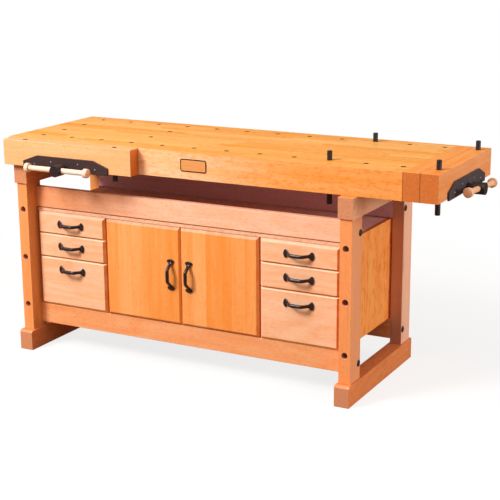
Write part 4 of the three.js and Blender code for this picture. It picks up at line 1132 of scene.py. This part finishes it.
class BENCH_OT_hinges(bpy.types.Operator):
    """Sets the hinges' cups into the inner faces of the doors"""

    bl_idname = "bench.set_hinge_cups"
    bl_label = "Set hinge cups"
    ARM_SHARE = 0.41

    def execute(self, context):
        sizes = context.scene.bench_sizes
        flange = dome(sizes.hinge_cup / 2, sizes.hinge_cup_flange, 0.0004, 5)
        for side, inward in zip(SIDES, (1, -1)):
            low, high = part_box(f"{side}_door")
            hinge_low, hinge_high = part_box(f"{side}_door_hinge")
            edge = low.x if inward > 0 else high.x
            reach = self.ARM_SHARE * (hinge_high.z - hinge_low.z)
            for end in (-1, 1):
                height = (hinge_low.z + hinge_high.z) / 2 + end * reach
                place = (edge + inward * sizes.hinge_cup_inset, high.y, height)
                rings = turned(flange, place, (0, 1, 0), 40)
                name = f"{side}_hinge_cup_{'lower' if end < 0 else 'upper'}"
                skin(name, rings, steel("hinge_steel"), f"{side}_door")
        return {"FINISHED"}


class BENCH_OT_badge(bpy.types.Operator):
    """Puts a blank badge with a dark rim on the apron"""

    bl_idname = "bench.fix_badge"
    bl_label = "Fix blank badge"

    def outline(self, width, height, corner):
        """Rounded rectangle: each corner's arc about its own centre."""
        turn = np.linspace(0, 2 * math.pi, 64, endpoint=False) + math.pi / 128
        away_x = np.sign(np.cos(turn)) * (width / 2 - corner)
        away_z = np.sign(np.sin(turn)) * (height / 2 - corner)
        return away_x + corner * np.cos(turn), away_z + corner * np.sin(turn)

    def tablet(self, centre, insets, stands, sizes):
        rows = []
        for inset, stand in zip(insets, stands):
            shrink = 2 * inset
            width, height = sizes.badge_width - shrink, sizes.badge_height - shrink
            x, z = self.outline(width, height, sizes.badge_corner - inset)
            y = np.full_like(x, centre[1] - stand)
            rows.append(np.stack([centre[0] + x, y, centre[2] + z], axis=-1))
        return np.array(rows)

    def execute(self, context):
        sizes = context.scene.bench_sizes
        low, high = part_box("bench_top")
        centre = (low.x + sizes.badge_from_left, low.y, high.z - sizes.badge_drop)
        rim, proud = sizes.badge_rim, sizes.badge_thickness
        edge = self.tablet(centre, (0, 0, 0.0004), (-0.0003, proud * 0.6, proud), sizes)
        face = self.tablet(centre, (rim, rim, rim + 0.0003), (0, proud, proud * 1.2), sizes)
        skin("badge_rim", edge, stain("badge_rim", "badge_rim"), "bench", math.radians(20))
        skin("badge_face", face, stain("badge_face", "badge"), "bench", math.radians(20))
        return {"FINISHED"}


# Stage


class BENCH_OT_stage(bpy.types.Operator):
    """Lays the floor, hangs the lamps and stands the camera"""

    bl_idname = "bench.set_stage"
    bl_label = "Set stage"
    LAMPS = {
        "key": ((-2.55, -4.0, 4.15), 2.0),
        "fill": ((5.0, 0.5, 1.5), 1.6),
        "over": ((-0.3, -2.1, 4.4), 2.6),
    }

    def floor(self, stage):
        """Flat disc: radius from a hand's breadth outwards and a full turn of angle."""
        radius = np.linspace(0.1, stage.floor_radius, 40)[:, None]
        angle = np.linspace(0, 2 * math.pi, 96, endpoint=False)[None, :]
        x, y = radius * np.cos(angle), radius * np.sin(angle)
        rings = np.stack([x, y, np.zeros_like(x)], axis=-1)
        corner = np.arange(rings.shape[0] * rings.shape[1]).reshape(rings.shape[:2])
        ahead = np.roll(corner, -1, axis=1)
        quads = np.stack([corner[:-1], corner[1:], ahead[1:], ahead[:-1]], axis=-1).reshape(-1, 4)
        mesh = bpy.data.meshes.new("floor")
        mesh.from_pydata(rings.reshape(-1, 3).tolist(), [], quads.tolist() + [corner[0].tolist()])
        made, tree, shader, where = new_material("floor_white")
        seen = add_node(tree, "ShaderNodeLightPath").outputs["Is Camera Ray"]
        shown = blend(tree, seen, (*stage.floor_bounce, 1), (*stage.floor_shade, 1))
        tree.links.new(shown, shader.inputs["Base Color"])
        shader.inputs["Roughness"].default_value = 0.9
        shader.inputs["Specular IOR Level"].default_value = 0.0
        inputs = {0: where["Object"]}
        far = add_node(tree, "ShaderNodeVectorMath", inputs, operation="LENGTH").outputs["Value"]
        fade = ramp(tree, far, 0.4 * stage.floor_fade, stage.floor_fade)
        share = calc(tree, "MULTIPLY_ADD", fade, 1 - stage.floor_glow, stage.floor_glow)
        share = calc(tree, "MULTIPLY", share, seen)
        glow = add_node(tree, "ShaderNodeEmission", {"Color": (1, 1, 1, 1), "Strength": 1.0}).outputs[0]
        mixed = add_node(tree, "ShaderNodeMixShader", {0: share, 1: shader.outputs[0], 2: glow}).outputs[0]
        tree.links.new(mixed, tree.nodes["Material Output"].inputs["Surface"])
        mesh.materials.append(made)
        floor = bpy.data.objects.new("floor", mesh)
        bpy.context.scene.collection.objects.link(floor)

    def sky(self, light):
        """Even light of the given colour, seen as plain white by the camera."""
        world = bpy.data.worlds.new("white_room")
        world.use_nodes = True
        tree = world.node_tree
        ray = add_node(tree, "ShaderNodeLightPath").outputs
        seen = blend(tree, ray["Is Camera Ray"], (*light, 1), (1, 1, 1, 1))
        back = tree.nodes["Background"]
        back.inputs["Strength"].default_value = 1.0
        tree.links.new(seen, back.inputs["Color"])
        bpy.context.scene.world = world

    def lamp(self, name, place, size, power):
        light = bpy.data.lights.new(name, "AREA")
        light.shape = "DISK"
        light.size = size
        light.energy = power
        made = bpy.data.objects.new(name, light)
        made.location = place
        made.rotation_euler = (Vector((0, 0, 0.5)) - Vector(place)).to_track_quat("-Z", "Y").to_euler()
        bpy.context.scene.collection.objects.link(made)

    def camera(self, stage):
        """Camera whose right, up and back axes come from its yaw, pitch and roll."""
        yaw, pitch, roll = stage.camera_turn
        level = Vector((math.cos(yaw), math.sin(yaw), 0))
        ahead = Vector((-math.sin(yaw) * math.cos(pitch), math.cos(yaw) * math.cos(pitch), -math.sin(pitch)))
        down = ahead.cross(level)
        right = math.cos(roll) * level - math.sin(roll) * down
        up = -(math.sin(roll) * level + math.cos(roll) * down)
        data = bpy.data.cameras.new("camera")
        data.lens = stage.lens * 1000
        data.sensor_width = 36
        made = bpy.data.objects.new("camera", data)
        turn = Matrix((right, up, -ahead)).transposed().to_4x4()
        made.matrix_world = Matrix.Translation(stage.camera_place) @ turn
        bpy.context.scene.collection.objects.link(made)
        bpy.context.scene.camera = made

    def execute(self, context):
        stage = context.scene.bench_stage
        context.scene.view_settings.view_transform = "Standard"
        self.floor(stage)
        self.sky(stage.sky)
        for name, (place, size) in self.LAMPS.items():
            self.lamp(name, place, size, getattr(stage, name))
        self.camera(stage)
        return {"FINISHED"}


STEPS = (
    BENCH_OT_top,
    BENCH_OT_trestles,
    BENCH_OT_cabinet,
    BENCH_OT_handles,
    BENCH_OT_pulls,
    BENCH_OT_dogs,
    BENCH_OT_vises,
    BENCH_OT_bolts,
    BENCH_OT_hinges,
    BENCH_OT_badge,
    BENCH_OT_stage,
)


class BENCH_PT_looks(bpy.types.Panel):
    """Lists the steps that dress the bench"""

    bl_idname = "BENCH_PT_looks"
    bl_label = "Bench looks"
    bl_space_type = "VIEW_3D"
    bl_region_type = "UI"
    bl_category = "Bench"

    def draw(self, context):
        for made in STEPS:
            self.layout.operator(made.bl_idname)


GROUPS = {"bench_sizes": BenchSizes, "bench_colours": BenchColours, "bench_stage": BenchStage}


def register():
    for name, kind in GROUPS.items():
        bpy.utils.register_class(kind)
        setattr(bpy.types.Scene, name, PointerProperty(type=kind))
    for made in (*STEPS, BENCH_PT_looks):
        bpy.utils.register_class(made)


def unregister():
    for made in reversed((*STEPS, BENCH_PT_looks)):
        bpy.utils.unregister_class(made)
    for name, kind in GROUPS.items():
        delattr(bpy.types.Scene, name)
        bpy.utils.unregister_class(kind)


def main():
    register()
    for made in STEPS:
        area, step_name = made.bl_idname.split(".")
        getattr(getattr(bpy.ops, area), step_name)()


if __name__ == "__main__":
    main()
